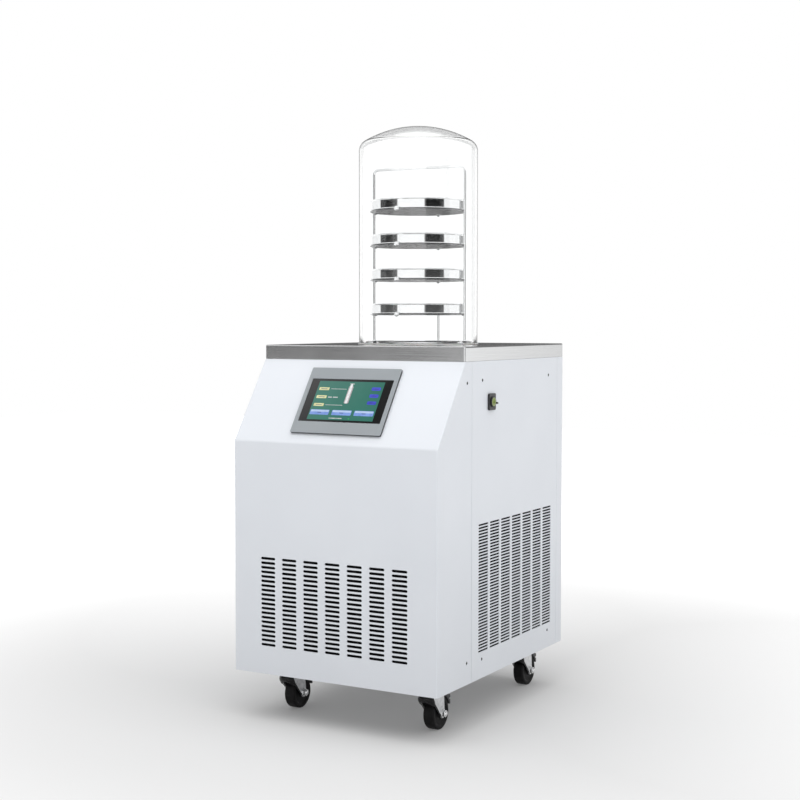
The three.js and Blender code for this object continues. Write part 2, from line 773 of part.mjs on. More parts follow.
function ventValveBody() {
  const face = halfWidth + clearance;
  const plate = block([face, face + valvePlate.thickness], centred(valveY, valvePlate.width / 2),
    centred(valveZ, valvePlate.height / 2));
  const spigot = rodAlongX(valveSpigotRadius, halfWidth - valveSpigotLength, face + 1, valveY, valveZ, 16);
  const stem = rodAlongX(valveStemRadius, face, face + valvePlate.thickness + knobThickness - 2,
    valveY, valveZ, 12);
  return join([plate, spigot, stem]);
}

function ventValveKnob() {
  const inner = halfWidth + clearance + valvePlate.thickness + clearance;
  const outer = inner + knobThickness;
  const cap = rodAlongX(knobRadius, inner, outer, valveY, valveZ, 24);
  const pointer = block([inner + 2, outer - 1],
    [valveY + knobRadius / 2, valveY + knobRadius + knobPointer.reach],
    centred(valveZ, knobPointer.halfHeight));
  const socket = rodAlongX(valveStemRadius + clearance, inner - 1, outer - 2 + clearance, valveY, valveZ, 12);
  return cap.add(pointer).subtract(socket);
}

function powerInlet() {
  const past = 5;
  const z = coverBottom + inletHeight;
  const face = block(centred(inletCentreX, inletHalf.width + inletLip.overreach),
    [cabinetDepth + clearance, inletBack], centred(z, inletHalf.height + inletLip.overreach));
  const body = block(centred(inletCentreX, inletHalf.width),
    [cabinetDepth - inletDepth, inletBack - 1], centred(z, inletHalf.height));
  const socket = block(centred(socketX, socketSize.width / 2),
    [inletBack - socketSize.depth, inletBack + past], centred(z, socketSize.height / 2));
  const bay = block(centred(rockerX, rockerBay.width / 2),
    [inletBack - rockerBay.depth, inletBack + past], centred(z, rockerBay.height / 2));
  const pinHalf = rockerBay.width / 2 + rockerPin.length + runningGap;
  const pinHoles = rodAlongX(rockerPin.radius + clearance, rockerX - pinHalf, rockerX + pinHalf,
    rockerY, z, 12);
  return join([face, body]).subtract(join([socket, bay, pinHoles]));
}

// Rocker at rest on its off side; its two faces meet in a shallow valley.
function powerRocker() {
  const tall = rockerBay.height / 2 - rockerFace.gap;
  const inner = tall * 0.55;
  const rocker = extruded([
    [-rockerPin.depth, -inner], [-rockerPin.depth, inner],
    [rockerFace.tip, tall], [rockerFace.valley, 0], [rockerFace.tip, -tall],
  ], rockerBay.width - 2 * runningGap, along.side);
  const pinHalf = rockerBay.width / 2 + rockerPin.length;
  const pins = rodAlongX(rockerPin.radius, -pinHalf, pinHalf, 0, 0, 10);
  return rocker.add(pins)
    .rotate([rockerThrow, 0, 0])
    .translate([rockerX, rockerY, coverBottom + inletHeight]);
}

// ---------------------------------------------------------- jar and rack

function domeProfile(radius, crown, knuckle, topZ) {
  const crownCentre = topZ - crown;
  const knuckleX = radius - knuckle;
  const meet = THREE.MathUtils.radToDeg(Math.asin(knuckleX / (crown - knuckle)));
  const knuckleZ = crownCentre + (crown - knuckle) * Math.cos(THREE.MathUtils.degToRad(meet));
  const side = arcPoints(knuckleX, knuckleZ, knuckle, 0, 90 - meet, 3);
  const top = arcPoints(0, crownCentre, crown, 90 - meet, 90, 3).slice(1);
  return [...side, ...top];
}

function bellJar() {
  const bottom = worktopTop + sealThickness + 2 * clearance;
  const outside = domeProfile(jarRadius, domeRadius, shoulderRadius, worktopTop + jarHeight);
  const inside = domeProfile(jarInner, domeRadius - jarWall, shoulderRadius - jarWall,
    worktopTop + jarHeight - jarWall);
  outside[outside.length - 1][0] = 0;
  inside[inside.length - 1][0] = 0;
  const profile = [[jarInner, bottom], [jarRadius, bottom], ...outside, ...inside.reverse(),
    [jarInner, bottom]];
  return turned(profile, 32).translate([0, jarY, 0]);
}

function jarSeal() {
  const outer = jarRadius + (sealWidth - jarWall) / 2;
  const low = worktopTop + clearance;
  return turned(ringProfile(outer - sealWidth, outer, low, low + sealThickness), 32)
    .translate([0, jarY, 0]);
}

// One bent rod: up from the base ring, over the shelves and down again.
function rackFrame() {
  const low = footHeight + 2 * clearance + rackBaseThickness + clearance;
  const turn = rackHeight - rodRadius - rodBend;
  const reach = rodCentre - rodBend;
  const bend = arcPoints(reach, turn, rodBend, 0, 90, 4);
  const half = [[rodCentre, low], ...bend];
  const mirrored = half.map(([x, z]) => [-x, z]).reverse();
  const points = [...half, ...mirrored].map(([x, z]) => vec(x, 0, z));
  return tube(new BentPath(points), rodRadius, 8, points.length - 1);
}

function rackBase() {
  const low = footHeight + 2 * clearance;
  const inner = rackBaseRadius - rackBaseWidth;
  return turned(ringProfile(inner, rackBaseRadius, low, low + rackBaseThickness), 32);
}

function rackFoot(x, y) {
  return upright(footRadius, clearance, clearance + footHeight, 10, x, y);
}

function rackRearLeg() {
  const low = footHeight + 3 * clearance + rackBaseThickness;
  return upright(rodRadius, low, firstShelfHeight + shelfThickness + legAboveShelf, 8, 0, rodCentre);
}

// Round plate with a ball stop at its front and, above the rear leg, one behind.
function shelf(index) {
  const low = firstShelfHeight + index * shelfPitch;
  const plate = upright(shelfRadius, low, low + shelfThickness, 28);
  const sides = index > 0 ? [-1, 1] : [-1];
  const balls = sides.map((side) => solid(new THREE.SphereGeometry(ballRadius, 8, 5))
    .translate([0, side * ballCentre, low + shelfThickness]));
  return join([plate, ...balls]);
}

function tray(index) {
  const low = firstShelfHeight + index * shelfPitch + shelfThickness + clearance;
  const high = low + trayHeight;
  return turned([
    [0, low], [trayRadius, low], [trayRadius, high], [trayRadius - trayWall, high],
    [trayRadius - trayWall, low + trayWall], [0, low + trayWall],
  ], 28);
}

function dryingRack() {
  const group = new THREE.Group();
  const feet = { left: [-rodCentre, 0], right: [rodCentre, 0], rear: [0, rodCentre] };
  for (const [side, place] of Object.entries(feet)) {
    group.add(meshOf(`rack_foot_${side}`, rackFoot(...place), finishes.blackRubber));
  }
  group.add(meshOf("rack_base_ring", rackBase(), finishes.polishedSteel));
  group.add(meshOf("rack_rod_frame", rackFrame(), finishes.polishedSteel));
  group.add(meshOf("rack_rear_leg", rackRearLeg(), finishes.polishedSteel));
  for (let index = 0; index < shelfCount; index += 1) {
    group.add(meshOf(`shelf_${index + 1}`, shelf(index), finishes.brushedSteel));
    group.add(meshOf(`tray_${index + 1}`, tray(index), finishes.polishedSteel));
  }
  group.position.set(0, jarY, worktopTop);
  group.rotation.z = THREE.MathUtils.degToRad(rackTurn);
  return group;
}

// ------------------------------------------------------------------ casters
// Each caster is drawn about its swivel axis, with the wheel trailing towards +Y.

function wheel() {
  const sides = 20;
  const rim = wheelRadius / Math.cos(Math.PI / sides);
  const half = wheelWidth / 2;
  const hubHalf = forkInnerHalf - hubGap;
  const bore = axleRadius + clearance;
  const profile = [
    [bore, -hubHalf], [hubRadius, -hubHalf], [rim - treadRound, -half], [rim, -half + treadRound],
    [rim, half - treadRound], [rim - treadRound, half], [hubRadius, hubHalf], [bore, hubHalf],
    [bore, -hubHalf],
  ];
  return turned(profile, sides, Math.PI / sides)
    .rotate([0, 90, 0])
    .translate([0, casterTrail, wheelRadius]);
}

function axle() {
  const legOuter = forkInnerHalf + forkSheet;
  const reach = legOuter + clearance;
  const bolt = rodAlongX(axleRadius, -reach - 1, reach + 1, casterTrail, wheelRadius, 8);
  const caps = [-1, 1].map((hand) => {
    const ends = ordered(hand * reach, hand * (reach + nutHeight));
    return rodAlongX(nutRadius, ...ends, casterTrail, wheelRadius, 6);
  });
  return join([bolt, ...caps]);
}

// Pressed fork: a hood with a round nose whose sides sweep back to the axle.
function fork() {
  const outer = forkInnerHalf + forkSheet;
  const noseTip = casterTrail - wheelRadius - forkNose.overreach;
  const noseHeight = 2 * wheelRadius + forkNose.lift;
  const eye = arcPoints(casterTrail, wheelRadius, forkEye, 35, -160, 5);
  const [start, end] = [new THREE.Vector2(...eye[eye.length - 1]), new THREE.Vector2(noseTip, noseHeight)];
  const bend = start.clone().add(end).multiplyScalar(0.5).add(new THREE.Vector2(0, forkNose.bulge));
  const sweep = new THREE.QuadraticBezierCurve(start, bend, end).getPoints(4).slice(1);
  const past = 5;
  const side = extruded([
    [casterTrail + forkBack, crownHeight], ...eye, ...sweep.map(({ x, y }) => [x, y]),
    [noseTip - past, noseHeight], [noseTip - past, crownHeight],
  ], 2 * outer + past, along.side);
  const plan = (half, back, top) => {
    const nose = arcPoints(0, noseTip + outer, half, 0, -180, 6);
    const height = crownHeight + past;
    return extruded([[half, back], ...nose, [-half, back]], height).translate([0, 0, top - height / 2]);
  };
  const hood = side.intersect(plan(outer, casterTrail + forkEye + past, crownHeight + past));
  const hollow = plan(forkInnerHalf, casterTrail + forkEye + 2 * past, crownHeight - crownSheet);
  const reach = 2 * outer;
  const holes = join([
    upright(kingPinRadius + clearance, crownHeight - 3 * crownSheet, crownHeight + past, 10),
    rodAlongX(axleRadius + clearance, -reach, reach, casterTrail, wheelRadius, 8),
    rodAlongX(brakePinRadius + clearance, -reach, reach, brakePivot.y, brakePivot.z, 8),
  ]);
  return hood.subtract(hollow).subtract(holes);
}

function casterTop() {
  const top = casterHeight - clearance;
  const low = top - casterPlate.thickness;
  const plate = block(centred(0, casterPlate.width / 2), centred(0, casterPlate.length / 2), [low, top]);
  const raceway = upright(racewayRadius, crownHeight + clearance, low + 1, 16);
  const headTop = crownHeight - crownSheet - clearance;
  const pin = upright(kingPinRadius, headTop - 1, low, 10);
  const head = upright(kingPinHead.radius, headTop - kingPinHead.height, headTop, 10);
  return join([plate, raceway, pin, head]);
}

// Foot brake: a shoe behind the wheel that tips down on pins in the fork, with
// a grooved pad for the toe.
function brake() {
  const inner = arcPoints(casterTrail, wheelRadius, wheelRadius + brakeShoe.gap, 98, 17, 5);
  const outer = arcPoints(casterTrail, wheelRadius, brakeMiddle + brakeShoe.thickness / 2, 45, 98, 4);
  const back = casterTrail + wheelRadius + brakePad.overreach;
  const pad = [
    [back, brakePad.low], [back, brakePad.grooveLow], [back - brakePad.groove, brakePad.grooveLow],
    [back - brakePad.groove, brakePad.grooveHigh], [back, brakePad.grooveHigh], [back, brakePad.high],
  ].map(([y, z]) => [y, wheelRadius + z]);
  const shoe = extruded([...inner, ...pad, ...outer], 2 * brakeHalfWidth, along.side);
  const reach = forkInnerHalf + forkSheet;
  return shoe.add(rodAlongX(brakePinRadius, -reach, reach, brakePivot.y, brakePivot.z, 8));
}

function caster(place, x, y) {
  const group = new THREE.Group();
  group.add(meshOf(`caster_plate_${place}`, casterTop(), finishes.galvanised));
  group.add(meshOf(`caster_fork_${place}`, fork(), finishes.galvanised));
  group.add(meshOf(`caster_axle_${place}`, axle(), finishes.galvanised));
  group.add(meshOf(`caster_wheel_${place}`, wheel(), finishes.blackRubber));
  group.add(meshOf(`caster_brake_${place}`, brake(), finishes.blackPlastic));
  group.position.set(x, y, 0);
  return group;
}

// ---------------------------------------------------------------- the object

function freezeDryer() {
  const model = new THREE.Group();
  const pieces = {
    chassis: [chassis, finishes.galvanised],
    front_cover: [frontCover, finishes.whitePaint],
    side_panel_right: [() => sidePanel(1), finishes.whitePaint],
    side_panel_left: [() => sidePanel(-1), finishes.whitePaint],
    rear_panel: [rearPanel, finishes.whitePaint],
    worktop: [worktop, finishes.brushedSteel],
    cold_trap: [coldTrap, finishes.polishedSteel],
    trap_insulation: [trapInsulation, finishes.foam],
    evaporator_coil: [evaporatorCoil, finishes.copper],
    vacuum_port: [vacuumPort, finishes.polishedSteel],
    compressor: [compressor, finishes.blackPaint],
    condenser: [condenser, finishes.galvanised],
    fan_shroud: [fanShroud, finishes.galvanised],
    fan_motor: [fanMotor, finishes.blackPaint],
    fan_rotor: [fanRotor, finishes.blackPlastic],
    control_box: [controlBox, finishes.galvanised],
    vent_valve_body: [ventValveBody, finishes.blackPlastic],
    vent_valve_knob: [ventValveKnob, finishes.olivePlastic],
    power_inlet: [powerInlet, finishes.blackPlastic],
    power_rocker: [powerRocker, finishes.blackPlastic],
    jar_seal: [jarSeal, finishes.silicone],
    bell_jar: [bellJar, finishes.glass],
  };
  for (const [name, [make, look]] of Object.entries(pieces)) {
    model.add(meshOf(name, make(), look));
  }
  model.add(touchPanel());
  model.add(dryingRack());
  const casterX = halfWidth - casterSideInset;
  const rearCasterY = cabinetDepth - rearCasterInset;
  model.add(caster("front_right", casterX, frontCasterY));
  model.add(caster("front_left", -casterX, frontCasterY));
  model.add(caster("rear_right", casterX, rearCasterY));
  model.add(caster("rear_left", -casterX, rearCasterY));

  // the origin is on the floor, under the middle of the whole object
  model.updateMatrixWorld(true);
  const extent = new THREE.Box3().setFromObject(model, true);
  const middle = extent.getCenter(vec());
  model.position.set(-middle.x, -middle.y, 0);
  return model;
}

export default freezeDryer();
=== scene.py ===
"""The looks of the freeze dryer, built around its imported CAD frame."""

import math

import bmesh
import bpy
from mathutils import Matrix, Vector
from mathutils.geometry import tessellate_polygon


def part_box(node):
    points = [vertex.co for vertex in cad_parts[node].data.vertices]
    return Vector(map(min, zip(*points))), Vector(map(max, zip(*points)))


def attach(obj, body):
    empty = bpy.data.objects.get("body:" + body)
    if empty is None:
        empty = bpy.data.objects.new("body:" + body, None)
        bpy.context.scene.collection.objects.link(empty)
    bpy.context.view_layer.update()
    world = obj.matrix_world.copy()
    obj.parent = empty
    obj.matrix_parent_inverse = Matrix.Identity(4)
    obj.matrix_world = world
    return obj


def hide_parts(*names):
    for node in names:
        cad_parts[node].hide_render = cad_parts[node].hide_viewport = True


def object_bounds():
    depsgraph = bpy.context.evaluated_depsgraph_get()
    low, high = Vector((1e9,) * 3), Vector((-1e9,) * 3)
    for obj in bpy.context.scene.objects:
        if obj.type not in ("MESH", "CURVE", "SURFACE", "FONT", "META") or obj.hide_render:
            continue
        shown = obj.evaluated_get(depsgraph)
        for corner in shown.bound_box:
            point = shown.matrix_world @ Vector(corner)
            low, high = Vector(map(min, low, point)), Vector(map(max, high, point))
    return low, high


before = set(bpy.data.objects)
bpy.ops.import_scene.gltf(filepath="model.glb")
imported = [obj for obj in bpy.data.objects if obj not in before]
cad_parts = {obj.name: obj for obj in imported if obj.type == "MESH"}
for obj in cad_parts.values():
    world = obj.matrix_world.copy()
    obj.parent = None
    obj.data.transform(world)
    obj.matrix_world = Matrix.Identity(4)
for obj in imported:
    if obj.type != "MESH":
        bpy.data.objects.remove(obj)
cad_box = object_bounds()
scene = bpy.context.scene

# ---- the frame
# Pieces are drawn in millimetres: x across from the cabinet's middle, y back from its front, z up.

MM = 0.001
TINY = 1e-6  # a radius below this lies on the axis
TOUCH = 1e-3  # faces and holes this close lie in one plane
cover_low, cover_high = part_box("front_cover")
ORIGIN = Vector(((cover_low.x + cover_high.x) / 2, cover_low.y, cad_box[0].z))


def span(node):
    """Lowest and highest corner of a CAD node, in millimetres about the cabinet."""
    return [(corner - ORIGIN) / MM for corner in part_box(node)]


def middle(node):
    low, high = span(node)
    return (low + high) / 2


HALF = span("front_cover")[1].x  # half the cabinet's width
COVER_LOW, COVER_TOP = span("front_cover")[0].z, span("front_cover")[1].z
CHEEK_BACK = span("front_cover")[1].y
SIDE_FRONT, SIDE_BACK = span("side_panel_right")[0].y, span("side_panel_right")[1].y
REAR_WRAP, REAR = span("rear_panel")[0].y, span("rear_panel")[1].y
PAN_FRONT, PAN_LOW, PAN_TOP = span("worktop")[0].y, span("worktop")[0].z, span("worktop")[1].z
SLOPE_RISE = 156
FOLD_HEIGHT = PAN_LOW - SLOPE_RISE  # where the sloping panel starts
SHEET = 1.5
JAR_Y = middle("bell_jar").y
VALVE_Y = 214.0
TRAP_RADIUS = 89.2  # inside the cold trap, and the worktop's mouth over it
SLOPE = Matrix.Translation((0, PAN_FRONT / 2, (FOLD_HEIGHT + PAN_LOW) / 2)) @ Matrix.Rotation(
    math.atan2(SLOPE_RISE, PAN_FRONT), 4, "X")
RACK_TURN = math.radians(4.2)
RACK = Matrix.Translation((0, JAR_Y, PAN_TOP)) @ Matrix.Rotation(RACK_TURN, 4, "Z")


# ---- camera

SENSOR, LENS = 36, 65.66
EYE = (1.4576, -2.5826, 0.7777)
PITCH, YAW = -3.146, 29.864


def add_camera():
    data = bpy.data.cameras.new("camera")
    data.sensor_width, data.lens = SENSOR, LENS
    data.clip_start, data.clip_end = 0.05, 200
    data.dof.use_dof = False
    camera = bpy.data.objects.new("camera", data)
    scene.collection.objects.link(camera)
    camera.location = EYE
    camera.rotation_euler = (math.radians(90 + PITCH), 0, math.radians(YAW))
    scene.camera = camera


add_camera()


# ---- material tools

class Nodes:
    """Short ways to add shader nodes to one tree. A value that is a socket is linked."""

    def __init__(self, tree):
        self.tree = tree

    def add(self, kind, values=None, **settings):
        node = self.tree.nodes.new(kind)
        for key, value in settings.items():
            setattr(node, key, value)
        for key, value in (values or {}).items():
            if isinstance(value, bpy.types.NodeSocket):
                self.tree.links.new(value, node.inputs[key])
            else:
                node.inputs[key].default_value = value
        return node

    def point(self, scale=(1, 1, 1)):
        """Object coordinates in metres, stretched."""
        place = self.add("ShaderNodeTexCoord").outputs["Object"]
        return self.add("ShaderNodeMapping", {"Vector": place, "Scale": scale}).outputs["Vector"]

    def noise(self, scale, stretch=(1, 1, 1), detail=3, roughness=0.55):
        values = {"Vector": self.point(stretch), "Scale": scale, "Detail": detail, "Roughness": roughness}
        return self.add("ShaderNodeTexNoise", values).outputs["Fac"]

    def cells(self, scale):
        return self.add("ShaderNodeTexVoronoi", {"Vector": self.point(), "Scale": scale}).outputs

    def math(self, operation, a, b=0.0, c=0.0):
        return self.add("ShaderNodeMath", {0: a, 1: b, 2: c}, operation=operation).outputs[0]

    def times(self, a, b):
        return self.math("MULTIPLY", a, b)

    def less(self, value):
        """One less a value."""
        return self.math("SUBTRACT", 1.0, value)

    def spread(self, value, low, high, start=0.35, end=0.65, kind="LINEAR"):
        """Value from start to end becomes low to high."""
        values = {"Value": value, "From Min": start, "From Max": end, "To Min": low, "To Max": high}
        return self.add("ShaderNodeMapRange", values, interpolation_type=kind).outputs["Result"]

    def mix(self, value, first, second):
        values = {0: value, 6: (*first, 1), 7: (*second, 1)}
        return self.add("ShaderNodeMix", values, data_type="RGBA").outputs[2]

    def tint(self, value, first, second, start=0.35, end=0.65):
        """Value from start to end becomes the first colour to the second."""
        return self.mix(self.spread(value, 0, 1, start, end), first, second)

    def bump(self, height, depth, onto=None):
        """Bump whose full height is depth metres."""
        values = {"Height": height, "Distance": depth}
        if onto:
            values["Normal"] = onto
        return self.add("ShaderNodeBump", values).outputs["Normal"]


MATERIALS = {}


def material(name, values, build):
    """Principled material. build(nodes) makes what varies over the surface."""
    made = bpy.data.materials.new(name)
    made.use_nodes = True
    shader = made.node_tree.nodes["Principled BSDF"]
    for key, value in values.items():
        shader.inputs[key].default_value = value
    for key, socket in build(Nodes(made.node_tree)).items():
        made.node_tree.links.new(socket, shader.inputs[key])
    MATERIALS[name] = made
    return made


# ---- materials

def powder_coat(n):
    peel = n.bump(n.noise(620, detail=2), 0.00004)
    return {
        "Base Color": n.tint(n.noise(5, detail=2), (0.752, 0.78, 0.826), (0.772, 0.8, 0.845)),
        "Roughness": n.spread(n.noise(90), 0.36, 0.44),
        "Normal": n.bump(n.noise(2600, detail=1), 0.00001, onto=peel),
    }


def brushed(n):
    """Fine grain along x, and along y on faces that look sideways."""
    normal = n.add("ShaderNodeNewGeometry").outputs["Normal"]
    sideways = n.add("ShaderNodeSeparateXYZ", {0: normal}).outputs["X"]
    side = n.math("GREATER_THAN", n.math("ABSOLUTE", sideways), 0.7)
    along_x = n.noise(1, (9, 2600, 2600), detail=4, roughness=0.7)
    along_y = n.noise(1, (2600, 9, 2600), detail=4, roughness=0.7)
    grain = n.math("ADD", n.times(along_x, n.less(side)), n.times(along_y, side))
    smudge = n.spread(n.noise(14, detail=4), -0.006, 0.008)
    return {
        "Base Color": n.tint(grain, (0.62, 0.625, 0.63), (0.72, 0.725, 0.73), 0.3, 0.7),
        "Roughness": n.math("ADD", n.spread(grain, 0.13, 0.2, 0.3, 0.7), smudge),
        "Normal": n.bump(grain, 0.000012),
    }


def polished(n):
    scratch = n.noise(1, (60, 1900, 1900), detail=3)
    return {
        "Base Color": n.tint(n.noise(30), (0.82, 0.825, 0.83), (0.86, 0.865, 0.87)),
        "Roughness": n.math("ADD", n.spread(scratch, 0.03, 0.055), n.spread(n.noise(22), 0, 0.03)),
        "Normal": n.bump(scratch, 0.000002),
    }


def shaded_shelf_steel(n):
    """Steel coloured dark: painted shade on the shelf plates under the trays."""
    return {
        "Base Color": n.tint(n.noise(160, (1, 1, 0.2), detail=4), (0.2, 0.202, 0.205), (0.26, 0.262, 0.265)),
        "Roughness": n.spread(n.noise(24, detail=4), 0.09, 0.13),
        "Normal": n.bump(n.noise(900), 0.00001),
    }


def zinc(n):
    blotch = n.noise(120, detail=4)
    flecks = n.times(n.cells(420)["Distance"], 0.08)
    return {
        "Base Color": n.tint(blotch, (0.58, 0.59, 0.6), (0.74, 0.745, 0.75)),
        "Roughness": n.math("ADD", n.spread(blotch, 0.24, 0.38), flecks),
        "Normal": n.bump(n.noise(1500), 0.00001),
    }


def spangle(n):
    """Hot-dip galvanised sheet: each crystal has its own brightness and gloss."""
    grey = n.add("ShaderNodeSeparateColor", {0: n.cells(85)["Color"]}).outputs[0]
    fine = n.noise(700)
    return {
        "Base Color": n.mix(grey, (0.42, 0.43, 0.44), (0.6, 0.61, 0.62)),
        "Roughness": n.math("ADD", n.spread(grey, 0.34, 0.5, 0, 1), n.spread(fine, -0.03, 0.03)),
        "Normal": n.bump(fine, 0.000015),
    }


# Near-black foam colour: the trap's real insulation, and the painted shade sheets behind the cabinet's slots.
def insulation_foam_and_slot_shade(n):
    return {
        "Base Color": n.tint(n.noise(60), (0.003, 0.003, 0.0032), (0.008, 0.008, 0.0085)),
        "Roughness": n.spread(n.noise(200), 0.78, 0.92),
        "Normal": n.bump(n.cells(900)["Distance"], 0.00025),
    }


def screen_glass(n):
    smear = n.noise(35, (1, 0.35, 1), detail=5)
    return {
        "Base Color": n.tint(smear, (0.006, 0.0065, 0.007), (0.009, 0.0095, 0.01)),
        "Roughness": n.spread(smear, 0.04, 0.12, 0.45, 0.8),
    }


def edge_shaded_clear(n):
    """Clear plastic painted grey where it is seen along its wall: painted shade at the jar's edges."""
    facing = n.add("ShaderNodeLayerWeight", {"Blend": 0.5}).outputs["Facing"]
    return {
        "Base Color": n.tint(facing, (0.988, 0.992, 0.992), (0.2, 0.205, 0.21), 0.66, 0.93),
        "Roughness": n.spread(n.noise(26), 0.0, 0.012, 0.5, 0.8),
    }


def noisy(colour, gloss, relief):
    """Colour, roughness and relief, each varied by its own noise. Colour and relief may be None."""
    def build(n):
        made = {}
        for socket, varied, vary in (("Base Color", colour, n.tint), ("Roughness", gloss, n.spread),
                                     ("Normal", relief, n.bump)):
            if varied:
                scale, detail, *values = varied
                made[socket] = vary(n.noise(scale, detail=detail), *values)
        return made
    return build


METAL = {"Metallic": 1.0}
NOISY = {  # own values, and the noises of colour, roughness and relief: (scale, detail, what it varies)
    "silicone": ({"Subsurface Weight": 0.15, "Subsurface Scale": 0.002},
                 (60, 3, (0.72, 0.73, 0.72), (0.8, 0.81, 0.8)), (220, 3, 0.42, 0.55), (1300, 3, 0.00002)),
    "black_rubber": ({}, (50, 3, (0.014, 0.014, 0.014), (0.026, 0.026, 0.026)), (300, 3, 0.55, 0.7),
                     (1800, 3, 0.00003)),
    "black_plastic": ({}, (40, 3, (0.012, 0.012, 0.013), (0.02, 0.02, 0.021)), (260, 3, 0.33, 0.45),
                      (1400, 3, 0.00002)),
    "guard_plastic": ({"Specular IOR Level": 0.25}, (60, 3, (0.006, 0.006, 0.0065), (0.012, 0.012, 0.0125)),
                      (240, 3, 0.08, 0.15), (700, 3, 0.000012)),
    "silver_frame": ({"Metallic": 0.25}, (12, 3, (0.34, 0.368, 0.39), (0.355, 0.383, 0.405)),
                     (400, 3, 0.3, 0.36), (2200, 2, 0.000006)),
    # The bezel frame's colour darkened: painted shade on its side faces.
    "frame_side_painted_shade": ({"Metallic": 0.2, "Specular IOR Level": 0.3},
                   (14, 3, (0.042, 0.046, 0.05), (0.055, 0.06, 0.066)), (400, 3, 0.34, 0.42),
                   (2200, 2, 0.000006)),
    "olive_plastic": ({}, (160, 3, (0.175, 0.235, 0.045), (0.235, 0.3, 0.075)), (500, 3, 0.3, 0.42),
                      (1500, 3, 0.00002)),
    "black_paint": ({}, (18, 3, (0.012, 0.012, 0.013), (0.022, 0.022, 0.023)), (110, 3, 0.28, 0.42),
                    (450, 3, 0.00005)),
    "wheel_rubber": ({"Specular IOR Level": 0.15},
                     (70, 5, (0.006, 0.006, 0.0065), (0.016, 0.0155, 0.015), 0.4, 0.75), (70, 5, 0.42, 0.62),
                     (1100, 3, 0.00003)),
    "copper": (METAL, (55, 4, (0.78, 0.37, 0.2), (0.42, 0.18, 0.1), 0.4, 0.7), (55, 4, 0.18, 0.4),
               (900, 3, 0.00001)),
    "chrome": (METAL | {"Base Color": (0.86, 0.865, 0.87, 1)}, None, (60, 3, 0.06, 0.13), (700, 3, 0.000004)),
    "brass": (METAL | {"Base Color": (0.72, 0.56, 0.3, 1)}, None, (300, 3, 0.2, 0.34), (1200, 3, 0.00001)),
    "screw_steel": (METAL, (900, 3, (0.03, 0.03, 0.033), (0.07, 0.07, 0.075)), (700, 3, 0.3, 0.45), None),
    "knob_rim": ({"Base Color": (0.3, 0.36, 0.16, 1)}, None, (500, 3, 0.25, 0.36), (1500, 3, 0.00001)),
}
for finish_name, (own, *noises) in NOISY.items():
    material(finish_name, own, noisy(*noises))
material("white_paint", {"Specular IOR Level": 0.45}, powder_coat)
material("brushed_steel", METAL, brushed)
material("polished_steel", METAL, polished)
material("galvanised", METAL, spangle)
material("zinc", METAL, zinc)
material("shade_darkened_steel", METAL, shaded_shelf_steel)
material("insulation_foam_and_slot_shade", {"Specular IOR Level": 0.1}, insulation_foam_and_slot_shade)
material("screen_glass", {"Specular IOR Level": 0.1, "Coat Weight": 1.0, "Coat Roughness": 0.03},
         screen_glass)


def clear_acrylic():
    """Clear plastic that refracts what is seen through it and lets the lights' rays pass."""
    # Its colour turns grey at grazing view: painted shade at the jar's edges.
    tree = material("clear_acrylic", {"Transmission Weight": 1.0, "IOR": 1.49}, edge_shaded_clear).node_tree
    n = Nodes(tree)
    shader, output = tree.nodes["Principled BSDF"], tree.nodes["Material Output"]
    shadow = n.add("ShaderNodeLightPath").outputs["Is Shadow Ray"]
    clear = n.add("ShaderNodeBsdfTransparent", {"Color": (0.95, 0.955, 0.955, 1)})
    mix = n.add("ShaderNodeMixShader", {0: shadow, 1: shader.outputs[0], 2: clear.outputs[0]})
    tree.links.new(mix.outputs[0], output.inputs["Surface"])


clear_acrylic()


def picture(name, first, second, scale):
    """A lit area of the display under its glossy face."""
    def build(n):
        pixels = n.times(n.noise(2500, detail=0), 0.15)
        value = n.math("ADD", n.spread(n.noise(scale), 0, 0.85), pixels)
        return {"Emission Color": n.mix(value, first, second)}

    material("display_" + name, {
        "Base Color": (0.01, 0.01, 0.01, 1), "Roughness": 0.35, "Specular IOR Level": 0.1,
        "Coat Weight": 1.0, "Coat Roughness": 0.04, "Emission Strength": 1.0,
    }, build)


picture("teal", (0.018, 0.15, 0.112), (0.03, 0.185, 0.14), 12)
picture("cream", (0.62, 0.62, 0.3), (0.8, 0.8, 0.45), 90)
picture("light", (0.42, 0.46, 0.46), (0.72, 0.74, 0.74), 200)
picture("blue", (0.035, 0.05, 0.52), (0.07, 0.09, 0.7), 80)
picture("sky", (0.16, 0.28, 0.68), (0.26, 0.4, 0.85), 80)
picture("pale", (0.42, 0.56, 0.84), (0.58, 0.7, 0.94), 80)
picture("green", (0.02, 0.38, 0.06), (0.05, 0.52, 0.12), 200)
picture("rose", (0.34, 0.33, 0.34), (0.5, 0.44, 0.46), 200)
picture("white", (0.74, 0.74, 0.76), (0.92, 0.92, 0.93), 200)
picture("navy", (0.04, 0.055, 0.16), (0.07, 0.09, 0.26), 200)


# ---- mesh helpers

def arc(x, y, radius, start, end, steps):
    """Points on a circle, from angle start to end in degrees."""
    angles = [math.radians(start + (end - start) * k / steps) for k in range(steps + 1)]
    return [(x + radius * math.cos(a), y + radius * math.sin(a)) for a in angles]


def around(radius, count, start=0.0):
    """Points all round a circle, the first at an angle in radians."""
    angles = [start + 2 * math.pi * k / count for k in range(count)]
    return [(radius * math.cos(a), radius * math.sin(a)) for a in angles]


